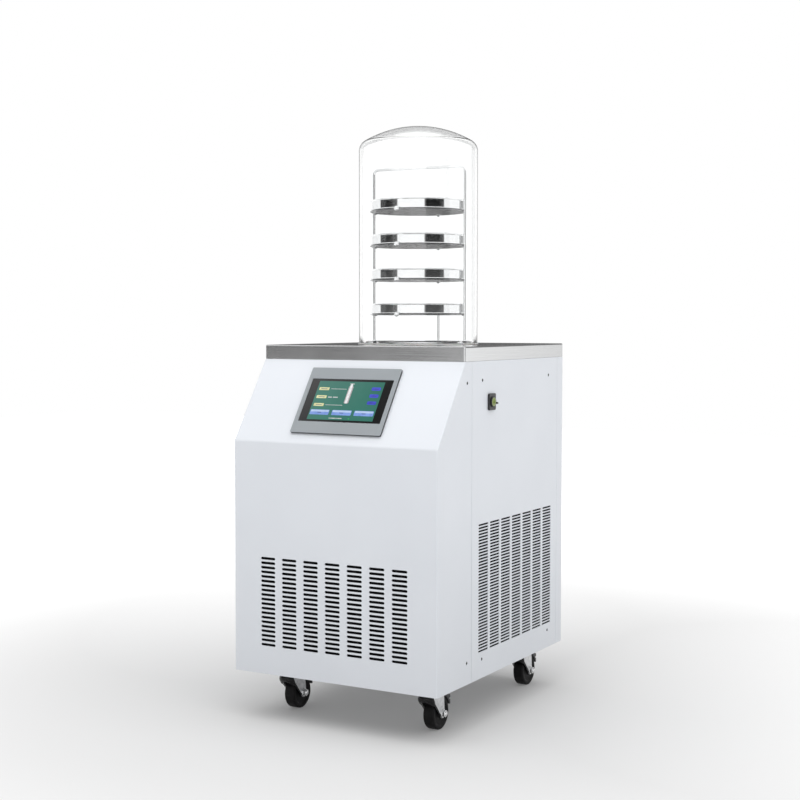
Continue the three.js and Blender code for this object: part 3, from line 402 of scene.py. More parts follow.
def rounded(corners, steps=4):
    """Outline of corners (x, y, radius), each with a radius turned into an arc."""
    points = []
    for i, (x, y, radius) in enumerate(corners):
        if not radius:
            points.append((x, y))
            continue
        corner = Vector((x, y))
        back = (Vector(corners[i - 1][:2]) - corner).normalized()
        ahead = (Vector(corners[(i + 1) % len(corners)][:2]) - corner).normalized()
        half = back.angle(ahead) / 2
        centre = corner + (back + ahead).normalized() * (radius / math.sin(half))
        start, end = [corner + way * (radius / math.tan(half)) - centre for way in (back, ahead)]
        first = math.atan2(start.y, start.x)
        turn = (math.atan2(end.y, end.x) - first + math.pi) % (2 * math.pi) - math.pi
        points += arc(*centre, radius, math.degrees(first), math.degrees(first + turn), steps)
    return points


def box_outline(width, height, radius=0.0, x=0.0, y=0.0, steps=4):
    ways = ((-1, -1), (1, -1), (1, 1), (-1, 1))
    return rounded([(x + a * width / 2, y + b * height / 2, radius) for a, b in ways], steps)


def stadium(width, height, x, y):
    r, steps = height / 2, 4
    a = width / 2 - r
    return arc(x + a, y, r, -90, 90, steps) + arc(x - a, y, r, 90, 270, steps)


def inset(outline, depth):
    """Outline moved inwards (its points run anticlockwise)."""
    if not depth:
        return list(outline)
    shifted = []
    for i, point in enumerate(outline):
        spot = Vector(point)
        back = (spot - Vector(outline[i - 1])).normalized()
        ahead = (Vector(outline[(i + 1) % len(outline)]) - spot).normalized()
        a, b = Vector((-back.y, back.x)), Vector((-ahead.y, ahead.x))
        shifted.append(tuple(spot + (a + b) * (depth / max(0.4, 1 + a.dot(b)))))
    return shifted


def edge_steps(radius, steps=3):
    """(inset, depth) pairs round a quarter-circle edge, from the face outwards."""
    angles = [math.pi / 2 * k / steps for k in range(steps + 1)]
    return [(radius * (1 - math.sin(a)), radius * (1 - math.cos(a))) for a in angles]


def level_ring(outline, depth, z):
    """An outline moved inwards by depth, at height z."""
    return [(x, y, z) for x, y in inset(outline, depth)]


def loft(rings, is_closed=False):
    """Faces between rings of as many points each. Ends are capped unless the last ring meets the first."""
    points = [tuple(p) for ring in rings for p in ring]
    faces, count, total = [], len(rings[0]), len(points)
    for start in range(0, total if is_closed else total - count, count):
        other = (start + count) % total
        for i in range(count):
            j = (i + 1) % count
            faces.append((start + i, start + j, other + j, other + i))
    if not is_closed:
        faces += [tuple(reversed(range(count))), tuple(range(total - count, total))]
    return points, faces


def slab(outline, low, high, edge=0.5, steps=3):
    """Plate between two heights with rounded edges."""
    rim = edge_steps(edge, steps) if edge else [(0, 0)]
    rings = [(depth, low + d) for depth, d in rim] + [(depth, high - d) for depth, d in reversed(rim)]
    return loft([level_ring(outline, depth, z) for depth, z in rings])


def lathe(profile, segments=64):
    """Turns (radius, z) points about z. A profile that starts off the axis closes on itself."""
    points, rings = [], []
    for radius, z in profile:
        if radius < TINY:
            rings.append([len(points)] * segments)
            points.append((0, 0, z))
            continue
        rings.append(range(len(points), len(points) + segments))
        points += [(x, y, z) for x, y in around(radius, segments)]
    faces = []
    following = rings[1:] + rings[:1] if profile[0][0] > TINY else rings[1:]
    for a, b in zip(rings, following):
        for i in range(segments):
            j = (i + 1) % segments
            face = [a[i], a[j], b[j], b[i]]
            face = [v for k, v in enumerate(face) if v != face[k - 1]]
            if len(face) > 2:
                faces.append(tuple(face))
    return points, faces


def turned(corners, steps, segments):
    """Solid turned from corners (radius, z, rounding)."""
    return lathe(rounded(corners, steps), segments)


def rod(path, radius):
    """Round rod along a 3D path, with rounded ends."""
    sides, path = 24, [Vector(p) for p in path]
    last = len(path) - 1
    tangents = [(path[min(i + 1, last)] - path[max(i - 1, 0)]).normalized() for i in range(last + 1)]
    across = tangents[0].orthogonal().normalized()

    def cap(k, hand):
        bulge = tangents[k] * (hand * radius * 0.4)
        turns = (math.pi / 6, math.pi / 3)
        return [(path[k] + bulge * math.sin(a), tangents[k], radius * math.cos(a)) for a in turns]

    rings = cap(0, -1)[::-1] + [(p, t, radius) for p, t in zip(path, tangents)] + cap(last, 1)
    outlines = []
    for centre, along, size in rings:
        across = (across - along * across.dot(along)).normalized()
        up = along.cross(across)
        outlines.append([centre + (across * x + up * y) * size for x, y in around(1, sides)])
    return loft(outlines)


def joined(*shapes):
    """One shape of several (points, faces)."""
    points, faces = [], []
    for some, their in shapes:
        start = len(points)
        points += some
        faces += [tuple(i + start for i in face) for face in their]
    return points, faces


def moved(shape, matrix):
    points, faces = shape
    return [tuple(matrix @ Vector(p)) for p in points], faces


def at(x=0.0, y=0.0, z=0.0, turn=None):
    """Matrix that puts a shape drawn about z at a place, turned to look along an axis."""
    axes = {
        None: Matrix.Identity(4),
        "+x": Matrix(((0, 0, 1, 0), (1, 0, 0, 0), (0, 1, 0, 0), (0, 0, 0, 1))),
        "-x": Matrix(((0, 0, -1, 0), (-1, 0, 0, 0), (0, 1, 0, 0), (0, 0, 0, 1))),
        "+y": Matrix(((-1, 0, 0, 0), (0, 0, 1, 0), (0, 1, 0, 0), (0, 0, 0, 1))),
    }
    return Matrix.Translation((x, y, z)) @ axes[turn]


def weigh(obj):
    """Flat faces keep flat shading up to their rounded edges."""
    tool = obj.modifiers.new("weighted_normals", "WEIGHTED_NORMAL")
    tool.mode, tool.weight, tool.keep_sharp = "FACE_AREA", 100, True


def smooth(mesh):
    mesh.polygons.foreach_set("use_smooth", [True] * len(mesh.polygons))


def piece(name, shape, finish, replaced=None, slot=None, body="cabinet", sharp=38, normals=None):
    """Makes one object of a shape in millimetres and ties it to the frame.

    replaced is the CAD node it stands for. slot is not used.
    """
    points, faces = shape
    mesh = bpy.data.meshes.new(name)
    mesh.from_pydata([ORIGIN + Vector(p) * MM for p in points], [], faces)
    mesh.materials.append(MATERIALS[finish])
    obj = bpy.data.objects.new(name, mesh)
    scene.collection.objects.link(obj)
    if normals:
        smooth(mesh)
        mesh.normals_split_custom_set(normals)
    else:
        made = bmesh.new()
        made.from_mesh(mesh)
        bmesh.ops.recalc_face_normals(made, faces=made.faces[:])
        made.to_mesh(mesh)
        made.free()
        smooth(mesh)
        mesh.set_sharp_from_angle(angle=math.radians(sharp))
        weigh(obj)
    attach(obj, body)
    slot or finish
    if replaced:
        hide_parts(replaced)
    return obj


# ---- sheet metal

def area_normal(points, face):
    total = Vector()
    for i, j in zip(face, face[1:] + face[:1]):
        total += Vector(points[i]).cross(Vector(points[j]))
    return total / 2


def lies_on(face, loop):
    """True where a hole's outline lies in the plane of a face."""
    third = len(loop) // 3
    spots = [Vector(loop[k]) - face.verts[0].co for k in (0, third, 2 * third)]
    return all(abs(spot.dot(face.normal)) < TOUCH for spot in spots)


def filled(points, loops, normal):
    """Triangles between an outline and its holes, all given as indices, that look along normal."""
    order = sum(loops, [])
    triangles = []
    for triangle in tessellate_polygon([[Vector(points[i]) for i in loop] for loop in loops]):
        triple = tuple(order[i] for i in triangle)
        triangles.append(triple if area_normal(points, triple).dot(normal) >= 0 else triple[::-1])
    return triangles


def folded(corners, faces, radius, segments=5, holes=()):
    """Skin of flat faces with rounded folds and with holes; returns (points, faces, which are flat)."""
    made = bmesh.new()
    verts = [made.verts.new(c) for c in corners]
    for face in faces:
        made.faces.new([verts[i] for i in face])
    made.normal_update()
    flats = [(f.normal.copy(), f.calc_center_median()) for f in made.faces]
    seams = [e for e in made.edges if len(e.link_faces) == 2]
    if seams:
        bmesh.ops.bevel(made, geom=seams, offset=radius, offset_type="OFFSET", segments=segments,
                        profile=0.5, affect="EDGES", clamp_overlap=False)
    made.normal_update()
    made.verts.index_update()
    points = [v.co.copy() for v in made.verts]
    main = set()
    for normal, centre in flats:
        near = [f for f in made.faces
                if f.normal.dot(normal) > 0.99999 and abs((f.verts[0].co - centre).dot(normal)) < TOUCH]
        main.add(max(near, key=lambda f: f.calc_area()))
    skin, level = [], []
    for face in made.faces:
        loops = [[v.index for v in face.verts]]
        if face in main:
            for hole in holes:
                if lies_on(face, hole):
                    loops.append(list(range(len(points), len(points) + len(hole))))
                    points += [Vector(p) for p in hole]
        fresh = filled(points, loops, face.normal) if len(loops) > 1 else [tuple(loops[0])]
        skin += fresh
        level += [face in main] * len(fresh)
    made.free()
    return points, skin, level


def corner_normals(points, faces, level):
    """Mean normal at each point. Flat faces outweigh the folds between them."""
    weight = 1000
    total = [Vector() for _ in points]
    for face, flat in zip(faces, level):
        normal = area_normal(points, face) * (weight if flat else 1)
        for i in face:
            total[i] += normal
    return [t.normalized() for t in total]


def sheet(name, skin, finish, replaced, slot=None, thickness=SHEET, rim=0.35, body="cabinet"):
    """Closed sheet behind a skin, with rounded free edges and slot edges."""
    points, faces, level = skin
    outward = corner_normals(points, faces, level)
    owner = {}
    for face in faces:
        for i, j in zip(face, face[1:] + face[:1]):
            owner[i, j] = face
    border = [(i, j) for i, j in owner if (j, i) not in owner]
    sides = {}
    for i, j in border:
        normal = area_normal(points, owner[i, j]).normalized()
        into = normal.cross((points[j] - points[i]).normalized())
        sides.setdefault(i, []).append(into)
        sides.setdefault(j, []).append(into)
    into = {i: (s[0] + s[-1]) / max(0.5, 1 + s[0].dot(s[-1])) for i, s in sides.items()}
    # rings across the free edges: in from the edge, and down from the outer face
    arcs = edge_steps(rim, 2)
    steps = arcs + [(i, thickness - d) for i, d in reversed(arcs)]
    count = len(points)
    back = [p - n * thickness for p, n in zip(points, outward)]
    verts = [p + into[k % count] * rim if k % count in into else p for k, p in enumerate(points + back)]
    index = {}
    for i in into:
        index[i] = [i]
        for reach, depth in steps[1:-1]:
            index[i].append(len(verts))
            verts.append(points[i] + into[i] * reach - outward[i] * depth)
        index[i].append(i + count)
    shell = list(faces) + [tuple(i + count for i in reversed(face)) for face in faces]
    flags = list(level) * 2
    for i, j in border:
        shell += zip(index[i], index[i][1:], index[j][1:], index[j])
    flags += [False] * (len(shell) - len(flags))
    mean = corner_normals(verts, shell, flags)
    normals = []
    for face, flat in zip(shell, flags):
        own = area_normal(verts, face).normalized()
        normals += [tuple(own if flat else mean[i]) for i in face]
    piece(name, (verts, shell), finish, replaced, slot, body, normals=normals)


def seven_columns(left, right, margin, gap, *rest):
    """Loops of seven columns of slots, as wide as the margins beside them and the gaps between them leave."""
    width = (right - left - 2 * margin - 6 * gap) / 7
    return slots_in(7, left + margin, width, width + gap, *rest)


def slots_in(columns, start, width, pitch, rows, low, height, row_pitch, place):
    """Loops of a field of slots; place(a, b) turns flat coordinates into a point."""
    loops = []
    for c in range(columns):
        for r in range(rows):
            slot = stadium(width, height, start + width / 2 + c * pitch, low + height / 2 + r * row_pitch)
            loops.append([place(a, b) for a, b in slot])
    return loops


def circle(radius, a, b, place, count=24):
    return [place(a + x, b + y) for x, y in around(radius, count)]


# ---- cabinet

SCREW = 3.2  # radius of a screw's hole
CHEEK_SCREWS = [(116, COVER_LOW + z) for z in (41, 567)]
SIDE_MIDDLE = (SIDE_FRONT + SIDE_BACK) / 2
SIDE_SCREWS = [(SIDE_MIDDLE + s * 152, COVER_LOW + z) for s in (-1, 1) for z in (36.5, 570.5)]
REAR_SCREWS = [(s * (HALF - 16), COVER_LOW + z) for s in (-1, 1) for z in (30, 300, 577)]


def front_cover():
    profile = [(0, COVER_LOW), (0, FOLD_HEIGHT), (PAN_FRONT - 0.2, COVER_TOP), (CHEEK_BACK, COVER_TOP),
               (CHEEK_BACK, COVER_LOW)]
    corners = [(x, y, z) for x in (-HALF, HALF) for y, z in profile]
    faces = [(0, 5, 6, 1), (1, 6, 7, 2), (5, 9, 8, 7, 6), (0, 1, 2, 3, 4)]
    holes = seven_columns(-HALF, HALF, 62.2, 15.2, 20, COVER_LOW + 54.75, 5.1, 8.84, lambda a, b: (a, 0, b))
    holes.append([SLOPE @ Vector((a, b, 0)) for a, b in box_outline(191, 125, 2)])
    for x in (-HALF, HALF):
        holes += [circle(SCREW, y, z, lambda a, b: (x, a, b)) for y, z in CHEEK_SCREWS]
    skin = folded(corners, faces, 2.6, holes=holes)
    sheet("cover_front", skin, "white_paint", "front_cover", rim=0.12)
    # Near-black sheet behind the front slots: painted shade, so that the slots read dark.
    mat = slab(box_outline(2 * HALF - 112, 188, 4, 0, COVER_LOW + 141.3), -9, -4, 1.2)
    upright = Matrix.Rotation(math.radians(90), 4, "X")
    piece("front_slot_shade_sheet", moved(mat, upright), "insulation_foam_and_slot_shade", slot="black_rubber")


def side_panel(hand, name):
    x = hand * HALF
    flat = [(SIDE_FRONT, COVER_LOW), (SIDE_BACK, COVER_LOW), (SIDE_BACK, COVER_TOP), (SIDE_FRONT, COVER_TOP)]

    def place(a, b):
        return x, a, b

    holes = []
    if hand > 0:
        holes = seven_columns(SIDE_FRONT, SIDE_BACK, 28.4, 7.3, 42, COVER_LOW + 51.2, 3.6, 5.91, place)
        holes.append(circle(7.5, VALVE_Y, middle("vent_valve_knob").z, place))
        # Near-black sheet behind the side slots: painted shade, so that the slots read dark.
        screen = box_outline(SIDE_BACK - SIDE_FRONT - 44, 262, 4, SIDE_MIDDLE, COVER_LOW + 174.6)
        mat = slab(screen, -SHEET - 1.7, -SHEET - 0.2, 0.4)
        piece("side_slot_shade_sheet", moved(mat, at(x, turn="+x")), "insulation_foam_and_slot_shade", slot="black_rubber")
    holes += [circle(SCREW, y, z, place) for y, z in SIDE_SCREWS]
    skin = folded([place(y, z) for y, z in flat[::hand]], [(0, 1, 2, 3)], 0, holes=holes)
    sheet(f"cover_side_{name}", skin, "white_paint", f"side_panel_{name}", rim=0.1)


def rear_panel():
    profile = [(REAR_WRAP, COVER_LOW), (REAR, COVER_LOW), (REAR, COVER_TOP), (REAR_WRAP, COVER_TOP)]
    corners = [(x, y, z) for x in (HALF, -HALF) for y, z in profile]

    def place(a, b):
        return a, REAR, b

    holes = slots_in(4, -HALF + 103, 52, 64, 8, COVER_LOW + 250, 6, 16, place)
    port, inlet = middle("vacuum_port"), middle("power_inlet")
    holes.append(circle(13, port.x, port.z, place, 32))
    holes.append([place(a, b) for a, b in box_outline(57, 29, 1.5, inlet.x, inlet.z)])
    holes += [circle(SCREW, x, z, place) for x, z in REAR_SCREWS]
    skin = folded(corners, [(1, 5, 6, 2), (0, 1, 2, 3), (5, 4, 7, 6)], 2.6, holes=holes)
    sheet("cover_rear", skin, "white_paint", "rear_panel")


def worktop():
    plan = ((-HALF, PAN_FRONT), (HALF, PAN_FRONT), (HALF, REAR), (-HALF, REAR))
    corners = [(x, y, z) for z in (PAN_LOW, PAN_TOP) for x, y in plan]
    faces = [(4, 5, 6, 7), (0, 1, 5, 4), (1, 2, 6, 5), (2, 3, 7, 6), (3, 0, 4, 7)]
    mouth = circle(TRAP_RADIUS, 0, JAR_Y, lambda a, b: (a, b, PAN_TOP), 96)
    sheet("worktop_pan", folded(corners, faces, 3, segments=6, holes=[mouth]), "brushed_steel", "worktop")


def screws():
    """Countersunk heads with a cross recess, their faces just below the sheet's."""
    face, cone = -0.35, SCREW - 0.15
    head = lathe([(0, face - 2.4), (1.4, face - 2.4), (cone - 0.1, face - 0.4), (cone, face - 0.15),
                  (cone - 0.15, face), (1.75, face - 0.02), (0.9, face - 0.7), (0, face - 0.95)], 24)
    long, short = 3.4, 0.7
    blades = [slab(box_outline(a, b, 0.2), face - 0.9, face + 0.05, 0.1, 1)
              for a, b in ((long, short), (short, long))]
    shape, heads = joined(head, *blades), []
    for x, turn in ((HALF, "+x"), (-HALF, "-x")):
        heads += [moved(shape, at(x, y, z, turn)) for y, z in SIDE_SCREWS + CHEEK_SCREWS]
    heads += [moved(shape, at(x, REAR, z, "+y")) for x, z in REAR_SCREWS]
    piece("cover_screws", joined(*heads), "screw_steel", slot="galvanised")


front_cover()
side_panel(1, "right")
side_panel(-1, "left")
rear_panel()
worktop()
screws()


# ---- touch panel

PANEL_LIFT = 0.3  # between the slope and the back of the panel
BEZEL_TOP = PANEL_LIFT + 5.0
GLASS_TOP = PANEL_LIFT + 4.0
DISPLAY_WIDTH, DISPLAY_HEIGHT = 146.0, 86.0
BUTTONS = ((0.015, 0.305), (0.35, 0.645), (0.69, 0.98))  # left and right, as shares of the display's width
LABELS = (0.165, 0.375, 0.58)  # tops, as shares of the display's height
READINGS = (0.135, 0.315, 0.495)  # the same
PICTURE = {  # piece: its colour, and boxes (left, right, top, bottom as shares, corner radius, height)
    "panel_display_cream": ("cream", [(0.03, 0.185, t, t + 0.075, 1.2) for t in LABELS]),
    "panel_display_light": ("light", [
        (0.21, 0.45, 0.195, 0.207, 0.3), (0.21, 0.27, 0.405, 0.43, 0.5), (0.285, 0.36, 0.405, 0.43, 0.5),
        (0.21, 0.47, 0.612, 0.624, 0.3), (0.33, 0.53, 0.945, 0.965, 0.5), (0.478, 0.547, 0.052, 0.07, 0.6)]),
    "panel_display_blue": ("blue", [(0.83, 0.965, t, t + 0.085, 2.0) for t in READINGS]),
    "panel_display_sky": ("sky", [(a, b, 0.745, 0.875, 1.6) for a, b in BUTTONS]),
    "panel_display_green": ("green", [(0.625, 0.645, 0.94, 0.972, 1.2)]),
    "panel_display_rose": ("rose", [(0.478, 0.547, 0.12, 0.57, 2.2)]),
    "panel_button_lights": ("pale", [(a + 0.008, b - 0.008, 0.752, 0.8, 1.2, 0.1) for a, b in BUTTONS]),
    "panel_chamber_drawing": ("white", [(0.492, 0.53, 0.075, 0.565, 1.2, 0.11),
                                        (0.503, 0.519, 0.055, 0.09, 0.5, 0.12)]),
    "panel_marks": ("navy", [(m - 0.03, m + 0.03, 0.81, 0.825, 0.3, 0.13) for m in (0.16, 0.497, 0.835)]
                    + [(0.06, 0.155, t + 0.032, t + 0.045, 0.3, 0.13) for t in LABELS]
                    + [(0.86, 0.935, t + 0.036, t + 0.05, 0.3, 0.13) for t in READINGS]),
}


def panel_piece(name, shape, finish, replaced=None, slot="screen_glass"):
    piece(name, moved(shape, SLOPE), finish, replaced, slot)


def bezel():
    """Flat silver face with a small chamfer round its window, on a rim of the same frame coloured dark:
    painted shade on its side faces.
    """
    outer, window = box_outline(200, 146, 2.5, steps=6), box_outline(181.5, 95.5, 1.2, steps=6)
    seam = BEZEL_TOP - 1.1
    face = [(outer, 0.5, seam)] + [(outer, i, BEZEL_TOP - d) for i, d in reversed(edge_steps(0.7, 4))]
    face += [(window, -0.7, BEZEL_TOP), (window, -0.25, BEZEL_TOP - 0.2), (window, 0.0, BEZEL_TOP - 0.7),
             (window, 0.0, seam)]
    # The rim's sides take the frame's colour darkened: painted shade.
    rim = [(outer, 0.6, PANEL_LIFT), (outer, 0.1, PANEL_LIFT + 0.5), (outer, 0.1, seam - 0.35),
           (outer, 0.45, seam), (window, 0.0, seam), (window, 0.0, PANEL_LIFT)]
    for name, finish, rings in (("bezel", "silver_frame", face), ("bezel_shaded_rim", "frame_side_painted_shade", rim)):
        shape = loft([level_ring(*ring) for ring in rings], is_closed=True)
        panel_piece("panel_" + name, shape, finish, "panel_frame", "silver_frame")


def patch(left, right, top, bottom, radius, lift=0.07):
    x, y = ((left + right) / 2 - 0.5) * DISPLAY_WIDTH, (0.5 - (top + bottom) / 2) * DISPLAY_HEIGHT
    width, height = (right - left) * DISPLAY_WIDTH, (bottom - top) * DISPLAY_HEIGHT
    outline = box_outline(width, height, radius, x, y, 3)
    return slab(outline, GLASS_TOP - 0.05, GLASS_TOP + lift, 0)


def display():
    glass = slab(box_outline(180.9, 94.9, 1.0), PANEL_LIFT, GLASS_TOP, 0.35)
    panel_piece("panel_glass", glass, "screen_glass", "panel_screen")
    ground = slab(box_outline(DISPLAY_WIDTH, DISPLAY_HEIGHT, 0.5), GLASS_TOP - 0.1, GLASS_TOP + 0.03, 0)
    panel_piece("panel_picture", ground, "display_teal")
    for name, (colour, boxes) in PICTURE.items():
        panel_piece(name, joined(*[patch(*box) for box in boxes]), "display_" + colour)


bezel()
display()


# ---- vent valve

def grip_ring(radius, ridge, z):
    """Ring of the knob's grip, with 24 ridges."""
    angles = [2 * math.pi * k / 120 for k in range(120)]
    reaches = [radius + ridge * (0.5 + 0.5 * math.cos(24 * a)) for a in angles]
    return [(reach * math.cos(a), reach * math.sin(a), z) for reach, a in zip(reaches, angles)]


def vent_valve():
    z = middle("vent_valve_body").z
    body = joined(slab(box_outline(28, 32, 3), 0, 4, 0.9, 4),
                  lathe([(0, 3.5), (9.2, 3.5), (9.2, 4.05), (8.6, 4.25), (0, 4.25)], 48),
                  lathe([(0, -30), (6.2, -30), (7, -29.2), (7, 0.5), (0, 0.5)], 40),
                  slab(arc(0, 0, 11, 0, 300, 5), -6.5, -2.4, 0.8))
    body = moved(body, at(HALF + 0.3, VALVE_Y, z, "+x"))
    piece("vent_valve_plate", body, "black_plastic", "vent_valve_body")
    dial = 3.0  # height of the knob's face
    grip = loft([grip_ring(9.45, 0, 0), grip_ring(9.85, 0.28, 0.4), grip_ring(9.85, 0.28, dial - 1.1),
                 grip_ring(9.55, 0, dial - 0.6)])
    nib = slab(rounded([(9.0, -4.4, 0), (14.2, -4.6, 0.8), (14.2, -1.8, 0.8), (9.0, -0.4, 0)]), 0.8, 4.8, 0.5)
    rim = turned([(7.2, -1.8, 0), (8.4, -1.8, 0.2), (8.4, -0.4, 0.5), (7.2, 0, 0.4)], 4, 72)
    cap = lathe([(0, -1.7), (7.4, -1.7), (7.4, -0.5), (6.4, -0.3), (4, -0.1), (0, 0)], 64)
    boss = slab(box_outline(5.0, 5.0, 1.0, 0.6, 0), -0.8, 1.6, 0.35)
    spot = at(span("vent_valve_knob")[0].x, VALVE_Y, z, "+x")
    face = spot @ at(z=dial)
    piece("vent_valve_grip", moved(joined(grip, nib), spot), "black_plastic", "vent_valve_knob",
          body="valve_knob", sharp=50)
    piece("vent_valve_rim", moved(rim, face), "knob_rim", slot="olive_plastic", body="valve_knob")
    piece("vent_valve_cap", moved(joined(cap, boss), face), "olive_plastic", body="valve_knob")


vent_valve()


# ---- mains inlet

def mains_inlet():
    """Flanged moulding with a socket and a rocker's bay, drawn looking at the rear, so x is mirrored."""
    middle_x, half, cut = 11.5, 9, 4.5
    left, right = middle_x - 12.5, middle_x + 12.5
    socket = rounded([(left, -half, 1), (right, -half, 1), (right, half - cut, 1), (right - cut, half, 1),
                      (left + cut, half, 1), (left, half - cut, 1)], 3)
    bay = box_outline(18, 24, 0.8, -15, 0, 3)
    flange, body = box_outline(62, 34, 3), box_outline(56, 28, 1)
    points, faces = [], []

    def ring(outline, depth, z):
        points.extend(level_ring(outline, depth, z))
        return list(range(len(points) - len(outline), len(points)))

    def walls(*rings):
        for first, second in zip(rings, rings[1:]):
            faces.extend((first[i - 1], first[i], second[i], second[i - 1]) for i in range(len(first)))

    mouths = []
    for outline, deep in ((socket, 18.0), (bay, 12.0)):
        mouths.append(ring(outline, -0.4, 0))
        bottom = ring(outline, 0, -deep)
        walls(mouths[-1], ring(outline, 0, -0.4), bottom)
        faces.append(tuple(bottom))
    rim = [ring(flange, i, -d) for i, d in edge_steps(0.8)]
    under = ring(flange, 0, -2.0)
    body_front, body_back = ring(body, 0, -2.0), ring(body, 0, -28.0)
    walls(*rim, under)
    walls(body_front, body_back)
    faces.append(tuple(body_back))
    up = Vector((0, 0, 1))
    faces += filled(points, [rim[0], *mouths], up) + filled(points, [under, body_front], -up)
    spot = at(middle("power_inlet").x, span("power_inlet")[1].y, middle("power_inlet").z, "+y")
    piece("mains_inlet", moved((points, faces), spot), "black_plastic", "power_inlet")
    pins = [moved(slab(box_outline(2, 4, 0.4), -18.5, -3.5, 0.7), at(middle_x + a, b))
            for a, b in ((0, 3.2), (-7, -2.6), (7, -2.6))]
    piece("mains_pins", moved(joined(*pins), spot), "brass", slot="black_plastic")


mains_inlet()


# ---- bell jar, seal

def dome(radius, crown, knuckle, top):
    """Outline of the jar's upper end from its wall to its axis."""
    centre, reach = top - crown, radius - knuckle
    meet = math.degrees(math.asin(reach / (crown - knuckle)))
    height = centre + (crown - knuckle) * math.cos(math.radians(meet))
    return arc(reach, height, knuckle, 0, 90 - meet, 12) + arc(0, centre, crown, 90 - meet, 90, 22)[1:]


def bell_jar():
    low, high = span("bell_jar")
    radius, wall, crown, knuckle = (high.x - low.x) / 2, 5.0, 218, 22
    outer = dome(radius, crown, knuckle, high.z)
    inner = dome(radius - wall, crown - wall, knuckle - wall, high.z - wall)
    outer[-1], inner[-1] = (0, high.z), (0, high.z - wall)
    foot = rounded([(radius - wall, low.z + 20, 0), (radius - wall, low.z, 1.4), (radius, low.z, 1.4),
                    (radius, low.z + 20, 0)])
    shape = moved(lathe(inner[::-1] + foot + outer, 128), at(0, JAR_Y))
    jar = piece("bell_jar_clear", shape, "clear_acrylic", "bell_jar", sharp=60)
    jar.modifiers.clear()
    low, high = span("jar_seal")
    outside = (high.x - low.x) / 2
    seal = turned([(outside - 10, low.z, 0.5), (outside, low.z, 0.6), (outside, high.z, 0.6),
                   (outside - 10, high.z, 0.5)], 3, 128)
    piece("jar_gasket", moved(seal, at(0, JAR_Y)), "silicone", "jar_seal")


bell_jar()


# ---- drying rack

ROD_RADIUS = 3.0
ROD_CENTRE = 102.5
ROD_LOW = 9.9
SHELVES = [59 + 70 * k for k in range(4)]


def rack_piece(name, shape, finish, replaced=None, slot=None):
    piece(name, moved(shape, RACK), finish, replaced, slot)


def rack():
    base = turned([(75.5, 8, 0.5), (111.5, 8, 0.5), (111.5, 9.5, 0.5), (75.5, 9.5, 0.5)], 3, 128)
    rack_piece("rack_base", base, "polished_steel", "rack_base_ring")
    top, bend = 362 - ROD_RADIUS, 10
    half = [(ROD_CENTRE, 0, ROD_LOW), (ROD_CENTRE, 0, top - bend)]
    half += [(x, 0, z) for x, z in arc(ROD_CENTRE - bend, top - bend, bend, 0, 90, 10)[1:]]
    hoop = rod(half + [(-x, y, z) for x, y, z in reversed(half)], ROD_RADIUS)
    collar = turned([(0, 9.8, 0), (5.0, 9.8, 0.3), (4.6, 11.2, 0.5), (3.0, 11.9, 0.3), (0, 12.4, 0)], 3, 32)
    rods = joined(hoop, moved(collar, at(ROD_CENTRE)), moved(collar, at(-ROD_CENTRE)))
    rack_piece("rack_rods", rods, "polished_steel", "rack_rod_frame")
    leg = rod([(0, ROD_CENTRE, z) for z in (ROD_LOW, 30, 65)], ROD_RADIUS)
    rack_piece("rack_leg", joined(leg, moved(collar, at(0, ROD_CENTRE))), "polished_steel", "rack_rear_leg")
    pad = turned([(0, 0.3, 0), (4.1, 0.3, 0.9), (4.5, 7.0, 0.8), (3.6, 7.7, 0.4), (0, 7.7, 0)], 4, 40)
    for name, x, y in (("left", -ROD_CENTRE, 0), ("right", ROD_CENTRE, 0), ("rear", 0, ROD_CENTRE)):
        rack_piece(f"rack_pad_{name}", moved(pad, at(x, y)), "black_rubber", f"rack_foot_{name}")
    ball = 4.9
    stop = lathe([(0, -ball)] + arc(0, 0, ball, -80, 70, 15)
                 + [(1.5, ball - 0.35), (1.3, ball - 0.6), (0, ball - 0.6)], 32)
    neck = moved(lathe([(0, -3), (1.7, -3), (1.1, -1.5), (1.1, 3), (0, 3)], 20),
                 Matrix.Rotation(math.radians(90), 4, "X"))
    lug = moved(lathe([(0, -1.5), (2.2, -1.5), (2.4, -1.2), (2.4, 1.4), (0, 1.4)], 20),
                Matrix.Rotation(math.radians(90), 4, "Y"))
    for k, low in enumerate(SHELVES):
        plate = turned([(0, low, 0), (99.2, low, 0.7), (99.2, low + 2, 0.7), (0, low + 2, 0)], 4, 128)
        lugs = [moved(lug, at(side * 98.3, 0, low + 1)) for side in (-1, 1)]
        stops = []
        for side in (-1, 1) if k else (-1,):
            stops += [moved(stop, at(0, side * 101.4, low + 2)), moved(neck, at(0, side * 98.6, low + 1))]
        shelf = joined(plate, *lugs)
        # The shelf plates take the darkened steel: painted shade under the trays.
        rack_piece(f"rack_shelf_{k + 1}", shelf, "shade_darkened_steel", f"shelf_{k + 1}", "brushed_steel")
        rack_piece(f"rack_stops_{k + 1}", joined(*stops), "polished_steel", slot="brushed_steel")
        rack_piece(f"rack_tray_{k + 1}", tray(low + 2.3), "polished_steel", f"tray_{k + 1}")


def tray(low):
    """Drawn pan with a rounded bottom corner and a small rolled rim."""
    radius, wall, roll, bend = 96.8, 1.2, 1.25, 3
    top = low + 21.5
    outline = [(0, low), (radius - bend, low)] + arc(radius - bend, low + bend, bend, -90, 0, 5)[1:]
    outline += [(radius, top - 2.6 * roll)] + arc(radius + 0.15, top - roll, roll, -55, 180, 12)
    outline += [(radius - wall, top - 2.8 * roll)]
    outline += arc(radius - bend, low + bend, bend - wall, 0, -90, 4) + [(0, low + wall)]
    return lathe(outline, 128)


rack()


# ---- cold trap and port

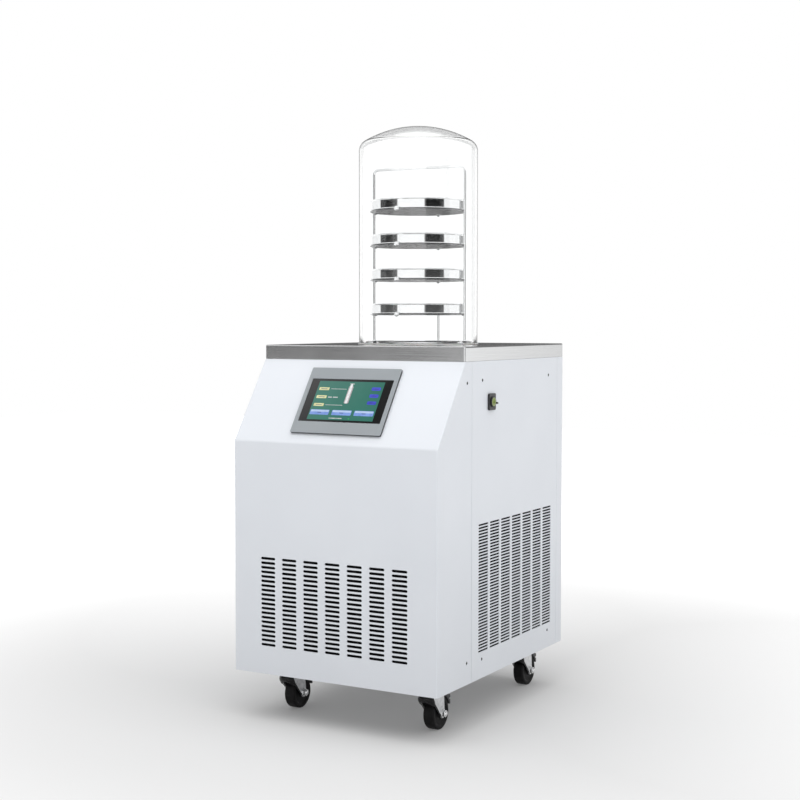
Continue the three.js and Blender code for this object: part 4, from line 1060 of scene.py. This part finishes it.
def cold_trap():
    low, high = span("cold_trap")
    wall, inner, corner, bend = 1.5, TRAP_RADIUS, 12, 10.5
    outer, under, well = inner + wall, high.z - wall, low.z + wall
    profile = [(0, low.z), (outer - corner, low.z)]
    profile += arc(outer - corner, low.z + corner, corner, -90, 0, 6)[1:]
    profile += [(outer, under - 2)] + arc(outer + 2, under - 2, 2, 180, 90, 4)
    profile += rounded([(inner + 20, under, 0), (inner + 25, under, 0.5), (inner + 25, high.z, 0.5),
                        (inner + 20, high.z, 0)], 3)
    profile += arc(inner + 2.2, high.z - 2.2, 2.2, 90, 180, 5) + [(inner, well + corner)]
    profile += arc(inner - bend, well + bend, bend, 0, -90, 6) + [(0, well)]
    piece("trap_well", moved(lathe(profile, 128), at(0, JAR_Y)), "polished_steel", "cold_trap")
    low, high = span("vacuum_port")
    end, port = high.y, middle("vacuum_port")
    tube = [(10.5, low.y, 0.4), (12.5, low.y, 0.4), (12.5, end - 4, 1.6), (17.5, end - 3.8, 0.2),
            (20, end - 2.4, 0.5), (20, end, 0.6), (15.0, end, 0.2), (14.6, end - 0.8, 0.2),
            (12.6, end - 0.8, 0.2), (12.2, end, 0.2), (10.5, end, 0.4)]
    flange = moved(turned(tube, 3, 72), at(port.x, 0, port.z, "+y"))
    piece("vacuum_flange", flange, "polished_steel", "vacuum_port")


cold_trap()


# ---- casters

WHEEL_RADIUS = 31.5
TRAIL = 22.0
FORK_HALF = 13.0  # inner face of a fork leg from the middle
FORK_SHEET = 2.0
FORK_OUTER = FORK_HALF + FORK_SHEET
FORK_FOLD = 6.0
CROWN = 82.0
NOSE_TIP, NOSE_LOW = -23.0, 66.0
NOSE_Y = NOSE_TIP + FORK_OUTER
FORK_EYE = arc(TRAIL, WHEEL_RADIUS, 9, 35, -160, 22)


def wheel_shape():
    half, round_off = 11.5, 3.5
    right = [(4.2, 12.4), (8.6, 12.4), (9.6, 11.9), (10.0, 10.4), (11.4, 9.5), (21.4, 9.5), (22.6, 10.2),
             (23.4, 11.0), (25.2, 11.3), (26.2, 11.3)]
    right += arc(WHEEL_RADIUS - round_off, half - round_off, round_off, 88, 0, 6) + [(WHEEL_RADIUS, 3.0)]
    return lathe(right + [(r, -z) for r, z in reversed(right)], 96)


def low_edge(y):
    """Height of the fork's swept lower edge at y, by halving along its curve."""
    start, end = FORK_EYE[-1], (NOSE_TIP, NOSE_LOW)
    bend = ((start[0] + end[0]) / 2, (start[1] + end[1]) / 2 + 3)

    def curve(t, axis):
        return (1 - t) ** 2 * start[axis] + 2 * t * (1 - t) * bend[axis] + t * t * end[axis]

    t0, t1 = 0.0, 1.0
    for _ in range(40):
        t = (t0 + t1) / 2
        t0, t1 = (t, t1) if curve(t, 0) > y else (t0, t)
    return curve(t, 1)


def fork_skin():
    """Outer skin of the pressed fork: flat legs, a round nose and a folded crown."""
    back, top, rows, first = TRAIL + 4, CROWN - FORK_FOLD, 5, FORK_EYE[-1][0]
    sweep = [(y, low_edge(y)) for y in [first + (NOSE_Y - first) * k / 8 for k in range(1, 8)]]
    ways = [(math.cos(a), -math.sin(a)) for a in [math.pi * k / 18 for k in range(19)]]
    nose = [(FORK_OUTER * x, NOSE_Y + FORK_OUTER * y) for x, y in ways]
    points, faces = [], []

    def add(*place):
        points.append(Vector(place))
        return len(points) - 1

    columns = []  # up the nose, from the right leg round to the left leg
    for x, y in nose:
        low = low_edge(y)
        columns.append([add(x, y, low + (top - low) * k / rows) for k in range(rows + 1)])
    for a, b in zip(columns, columns[1:]):
        faces += [(a[r], a[r + 1], b[r + 1], b[r]) for r in range(rows)]
    plan = [(FORK_OUTER, back)] + nose + [(-FORK_OUTER, back)]
    ways = [(1, 0)] + ways + [(-1, 0)]
    folds = []  # rows of the fold between wall and crown
    for angle in [math.pi / 2 * k / 6 for k in range(1, 7)]:
        pull, z = FORK_FOLD * (1 - math.cos(angle)), top + FORK_FOLD * math.sin(angle)
        folds.append([add(x - a * pull, y - b * pull, z) for (x, y), (a, b) in zip(plan, ways)])
    flat, corners = [], []
    for hand, column in ((1, columns[0]), (-1, columns[-1])):  # the flat legs, with their axle holes
        ring = [add(hand * FORK_OUTER, y, z) for y, z in [(back, top)] + FORK_EYE + sweep]
        hole = [add(hand * FORK_OUTER, TRAIL + a, WHEEL_RADIUS + b) for a, b in around(4.3, 24)]
        flat += filled(points, [ring + column, hole], Vector((hand, 0, 0)))
        corners.append(ring[0])
    base = [corners[0]] + [column[-1] for column in columns] + [corners[1]]
    for a, b in zip([base] + folds, folds):
        faces += [(a[i], b[i], b[i + 1], a[i + 1]) for i in range(len(base) - 1)]
    flat.append(tuple(reversed(folds[-1])))
    return points, faces + flat, [False] * len(faces) + [True] * len(flat)


def guard_shape():
    """Black moulded guard: full height round the fork's nose, a band down each swept edge."""
    first = FORK_EYE[-1][0] - 0.5
    legs = [first + (NOSE_Y - first) * k / 10 for k in range(10)]
    stations = [(1, 0, FORK_OUTER, y, 0.0) for y in legs]
    for a in [math.pi * k / 36 for k in range(37)]:
        x, y = math.cos(a), -math.sin(a)
        stations.append((x, y, FORK_OUTER * x, NOSE_Y + FORK_OUTER * y, min(a, math.pi - a)))
    stations += [(-1, 0, -FORK_OUTER, y, 0.0) for y in reversed(legs)]
    rings = []
    for across, along, x, y, turn in stations:
        share = min(1.0, turn / math.radians(34))
        rise = share * share * (3 - 2 * share)
        low = low_edge(y) - 1.4 - 4.5 * rise
        narrow = 3.2 + 2.4 * min(1.0, (first - y) / (first - NOSE_Y))
        high = low + narrow + (CROWN - 6.5 - low - narrow) * rise
        section = [(0.05, low + 0.25)]
        for t in [k / 8 for k in range(9)]:
            bulge = 0.6 + (0.4 + 4.0 * rise) * math.sin(math.pi * t) - 0.3 * abs(2 * t - 1) ** 6
            section.append((bulge, low + (high - low) * t))
        section.append((0.05, high - 0.25))
        rings.append([(x + across * out, y + along * out, z) for out, z in section])
    return loft(rings)


def brake_shape():
    reach, thick, wide = WHEEL_RADIUS + 3.3, 7.5, FORK_HALF - 2
    inner = arc(TRAIL, WHEEL_RADIUS, reach, 98, 17, 16)
    outer = arc(TRAIL, WHEEL_RADIUS, reach + thick, 46, 98, 12)
    back = TRAIL + WHEEL_RADIUS + 6.5
    pad = [(back, 9.5, 1.2), (back, 18.3, 1.0), (back - 3.3, 18.5, 0.9), (back - 3.3, 22, 0.9),
           (back, 22.2, 1.0), (back, 28.5, 2.2)]
    corners = [(*p, 0) for p in inner[:-1]] + [(*inner[-1], 0.8)]
    corners += [(y, WHEEL_RADIUS + z, radius) for y, z, radius in pad] + [(*p, 0) for p in outer]
    body = moved(slab(rounded(corners), -wide, wide, 0.7), at(turn="+x"))
    pivot = WHEEL_RADIUS + math.sqrt((reach + thick / 2) ** 2 - 4)
    rivet = lathe([(0, -FORK_OUTER), (1.9, -FORK_OUTER), (2.2, 0.3 - FORK_OUTER), (2.2, FORK_OUTER - 0.3),
                   (1.9, FORK_OUTER), (0, FORK_OUTER)], 20)
    return joined(body, moved(rivet, at(0, TRAIL - 2, pivot, "+x")))


def hexagon(radius, corner, steps):
    return rounded([(*p, corner) for p in around(radius, 6, math.pi / 6)], steps)


def axle_shape():
    leg = FORK_OUTER + 0.3
    bolt = lathe([(0, -leg - 1), (3.9, -leg - 1), (3.9, leg + 1), (0, leg + 1)], 32)
    washer = turned([(0, 0, 0), (8.4, 0, 0.2), (8.4, 1.3, 0.5), (0, 1.3, 0)], 3, 48)
    tip = lathe([(0, 6.0), (4.4, 6.0), (4.4, 7.4), (3.8, 8.2), (2.0, 8.6), (0, 8.7)], 32)
    right = joined(washer, slab(hexagon(7.2, 0.6, 3), 1.1, 6.4, 0.9), tip)
    left = joined(washer, lathe([(0, 1.1), (7.4, 1.1), (7.4, 3.2), (6.6, 5.0), (4.4, 6.3), (0, 6.7)], 40))
    ends = ((bolt, 0, "+x"), (right, leg, "+x"), (left, -leg, "-x"))
    return joined(*[moved(shape, at(x, TRAIL, WHEEL_RADIUS, turn)) for shape, x, turn in ends])


def plate_shape():
    low, high = 90.2, 92.7
    gap = low - CROWN
    race = turned([(0, 0.3, 0), (15.5, 0.3, 0.6), (20, 2.2, 1.6), (20, 5.4, 1.6), (17.4, gap + 0.2, 0.8),
                   (0, gap + 0.2, 0)], 4, 72)
    pin = lathe([(0, -5.8), (4.4, -5.8), (7.4, -4.9), (8, -3.6), (8, -2.8), (4.9, -2.8), (4.9, gap),
                 (0, gap)], 40)
    washer = lathe([(0, -0.3), (6.2, -0.3), (6.2, 0.4), (0, 0.4)], 32)
    bolt = joined(slab(hexagon(5, 0.4, 2), -3.2, 0, 0.45), washer)
    bolts = [moved(bolt, at(x, y, low)) for x in (-20, 20) for y in (-25.5, 25.5)]
    plate = slab(box_outline(56, 66, 6), low, high, 0.6)
    return joined(plate, moved(joined(race, pin), at(z=CROWN)), *bolts)


def caster(place):
    spot = at(*middle(f"caster_plate_{place}").xy)
    wheel = moved(wheel_shape(), at(0, TRAIL, WHEEL_RADIUS, "+x"))
    for name, shape, finish, slot, body, node in (
            ("mount", plate_shape(), "zinc", "galvanised", "cabinet", "plate"),
            ("guard", guard_shape(), "guard_plastic", "black_plastic", f"caster_{place}", None),
            ("bolt", axle_shape(), "chrome", "galvanised", f"caster_{place}", "axle"),
            ("tyre", wheel, "wheel_rubber", "wheel_rubber", f"wheel_{place}", "wheel"),
            ("pedal", brake_shape(), "black_plastic", "black_plastic", f"brake_{place}", "brake")):
        replaced = node and f"caster_{node}_{place}"
        piece(f"caster_{name}_{place}", moved(shape, spot), finish, replaced, slot, body)
    points, faces, level = fork_skin()
    skin = [spot @ p for p in points], faces, level
    sheet(f"caster_yoke_{place}", skin, "zinc", f"caster_fork_{place}", "galvanised", FORK_SHEET, 0.3,
          f"caster_{place}")


for corner_name in ("front_right", "front_left", "rear_right", "rear_left"):
    caster(corner_name)


# ---- what stays from the CAD

def dress(node, finish, edge=0.0, sharp=32, is_smooth=False):
    """Gives a CAD node its finish, and by modifier small rounded edges, or else smooth faces."""
    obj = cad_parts[node]
    obj.data.materials.clear()
    obj.data.materials.append(MATERIALS[finish])
    if edge or is_smooth:
        smooth(obj.data)
        weld = obj.modifiers.new("weld", "WELD")
        weld.merge_threshold = 0.02 * MM
    if edge:
        bevel = obj.modifiers.new("edges", "BEVEL")
        bevel.width, bevel.segments, bevel.limit_method = edge * MM, 2, "ANGLE"
        bevel.angle_limit = math.radians(sharp)
        bevel.harden_normals = False
        weigh(obj)
    elif is_smooth:
        obj.data.set_sharp_from_angle(angle=math.radians(sharp))


STAYING = {  # CAD node: finish, rounding, angle of a sharp edge, whether its faces are smooth
    "chassis": ("galvanised",),
    "control_box": ("galvanised", 1.5),
    "condenser": ("galvanised",),
    "fan_shroud": ("galvanised", 0.4),
    "fan_motor": ("black_paint", 0.8, 50),
    "fan_rotor": ("black_plastic", 0.3, 50),
    "compressor": ("black_paint", 0, 50, True),
    "evaporator_coil": ("copper", 0, 50, True),
    "panel_housing": ("black_plastic", 1.0),
    "power_rocker": ("black_plastic", 0.5),
}
for cad_node, look in STAYING.items():
    dress(cad_node, *look)
dress("trap_insulation", "insulation_foam_and_slot_shade", 0, 50, True)


# ---- floor, light, world

FLOOR_HALF = 7.0
FLOOR_GLOW = 0.13  # the floor's own light under the machine
BACKWARDS, SIDEWAYS = (-0.62, 0.785, 0), (0.867, 0.498, 0)  # away from the photo's camera, and to its right
# dark panels: (middle, half, softness) of azimuth, from the back towards +x, and of elevation, and the depth
PANELS = (
    ((-130.5, 25.0, 5.0), (5, 13, 1.5), 0.93),
    ((111.5, 24.6, 1.5), (2, 10, 1.5), 1.0),
    ((18.75, 7.25, 1.5), (2, 10, 1.5), 0.3),
    ((-150.0, 26.5, 1.5), (50, 20, 1.5), 0.85),
)
JAR_PANELS = (  # what the shelves mirror through the jar
    ((-131.85, 25.85, 1.5), (2, 10, 1.5), 1.0),
    ((111.5, 24.6, 1.5), (2, 10, 1.5), 1.0),
    ((21.25, 7.25, 1.0), (2, 10, 1.5), 0.9),
)
BEHIND = (  # what only metal mirrors, behind the machine
    ((-30, 16, 1.0), (0.5, 8.5, 1.5), 0.9),
    ((-30, 75, 6.0), (28, 20, 2.0), 0.8),
)
UNDER = ((-30, 24, 4), (-5.2, 4.4, 0.5), 0.88)  # what the jar's foot refracts, below the horizon
GLOSS = 1.2  # brightness of what metal and glass mirror
FILL_LEVEL, FILL_RISE = 0.24, 0.34  # diffuse light at the horizon, and how much more comes from overhead


def far_glow(n):
    """The floor's own light, which rises away from the machine until the floor is as bright as the room."""
    here = n.point()

    def along(way):
        return n.add("ShaderNodeVectorMath", {0: here, 1: way}, operation="DOT_PRODUCT").outputs["Value"]

    away = n.add("ShaderNodeVectorMath", {0: here}, operation="LENGTH").outputs["Value"]
    behind = n.spread(along(BACKWARDS), FLOOR_GLOW, 1.0, 0.15, 3.2)
    all_round = n.spread(away, FLOOR_GLOW, 1.0, 0.3, 2.9, "SMOOTHSTEP")
    aside = n.spread(along(SIDEWAYS), FLOOR_GLOW, 0.5, 0.25, 1.3)
    return {"Emission Strength": n.math("MAXIMUM", behind, n.math("MAXIMUM", all_round, aside))}


def floor():
    mesh = bpy.data.meshes.new("floor")
    mesh.from_pydata([(x, y, cad_box[0].z) for x, y in box_outline(2 * FLOOR_HALF, 2 * FLOOR_HALF)], [],
                     [(0, 1, 2, 3)])
    obj = bpy.data.objects.new("floor", mesh)
    scene.collection.objects.link(obj)
    mesh.materials.append(material("floor_white", {
        "Base Color": (0.6, 0.6, 0.6, 1), "Roughness": 0.9, "Specular IOR Level": 0.0,
        "Emission Color": (1, 1, 1, 1)}, far_glow))


def studio():
    """White room. What metal and glass mirror has dark panels standing in it."""
    world = bpy.data.worlds.new("studio")
    scene.world = world
    world.use_nodes = True
    world.cycles.sampling_method = "NONE"
    world.node_tree.nodes.clear()
    n = Nodes(world.node_tree)
    way = n.add("ShaderNodeSeparateXYZ", {0: n.add("ShaderNodeTexCoord").outputs["Generated"]}).outputs
    azimuth = n.math("DEGREES", n.math("ARCTAN2", way["X"], way["Y"]))
    elevation = n.math("DEGREES", n.math("ARCSINE", way["Z"]))

    def window(value, centre, half, soft):
        off = n.math("ABSOLUTE", n.math("SUBTRACT", value, centre))
        return n.spread(off, 1.0, 0.0, half - soft, half + soft)

    def shade(across, above, depth):
        return n.times(n.times(window(azimuth, *across), window(elevation, *above)), depth)

    def panels(standing):
        dark = 0.0
        for panel in standing:
            dark = n.math("MAXIMUM", shade(*panel), dark)
        return dark

    path = n.add("ShaderNodeLightPath").outputs
    refracted, spread = path["Is Transmission Ray"], path["Is Diffuse Ray"]
    through = n.times(refracted, n.less(n.math("MINIMUM", path["Glossy Depth"], 1.0)))
    lift = n.math("MAXIMUM", n.spread(elevation, 0.1, 0.0, -2, 5), through)
    room = panels(PANELS)
    dark = n.math("MULTIPLY_ADD", n.math("SUBTRACT", panels(JAR_PANELS), room), refracted, room)
    seen = n.times(n.less(n.times(dark, n.less(lift))), GLOSS)
    mirrored = n.times(path["Is Glossy Ray"], n.less(refracted))
    for panel in BEHIND:
        seen = n.times(seen, n.less(n.times(shade(*panel), mirrored)))
    under = n.times(shade(*UNDER), n.math("SUBTRACT", refracted, through))
    seen = n.times(seen, n.less(under))
    fill = n.math("MULTIPLY_ADD", n.math("MAXIMUM", way["Z"], 0.0), FILL_RISE, FILL_LEVEL)
    lit = n.math("ADD", n.times(seen, n.less(spread)), n.times(spread, fill))
    value = n.math("ADD", n.times(lit, n.less(path["Is Camera Ray"])), path["Is Camera Ray"])
    sky = n.add("ShaderNodeBackground", {"Color": (1, 1, 1, 1), "Strength": value})
    n.add("ShaderNodeOutputWorld", {"Surface": sky.outputs[0]})


def lamp(name, place, power):
    """Wide soft lamp aimed at the machine's lower half."""
    data = bpy.data.lights.new(name, "AREA")
    data.shape, data.size, data.energy = "DISK", 4.4, power
    obj = bpy.data.objects.new(name, data)
    scene.collection.objects.link(obj)
    obj.location = place
    obj.rotation_mode = "QUATERNION"
    obj.rotation_quaternion = (Vector((0, 0, 0.3)) - Vector(place)).to_track_quat("-Z", "Y")
    obj.visible_camera = obj.visible_glossy = obj.visible_transmission = False


floor()
studio()
lamp("key", (1.4, -0.9, 3.6), 80)
lamp("fill", (-1.0, -0.9, 3.6), 50)

scene.view_settings.view_transform = "Standard"
scene.cycles.max_bounces = 24
scene.cycles.transmission_bounces = 16
scene.cycles.transparent_max_bounces = 24
scene.cycles.glossy_bounces = 8
scene.cycles.diffuse_bounces = 4
scene.cycles.use_denoising = True
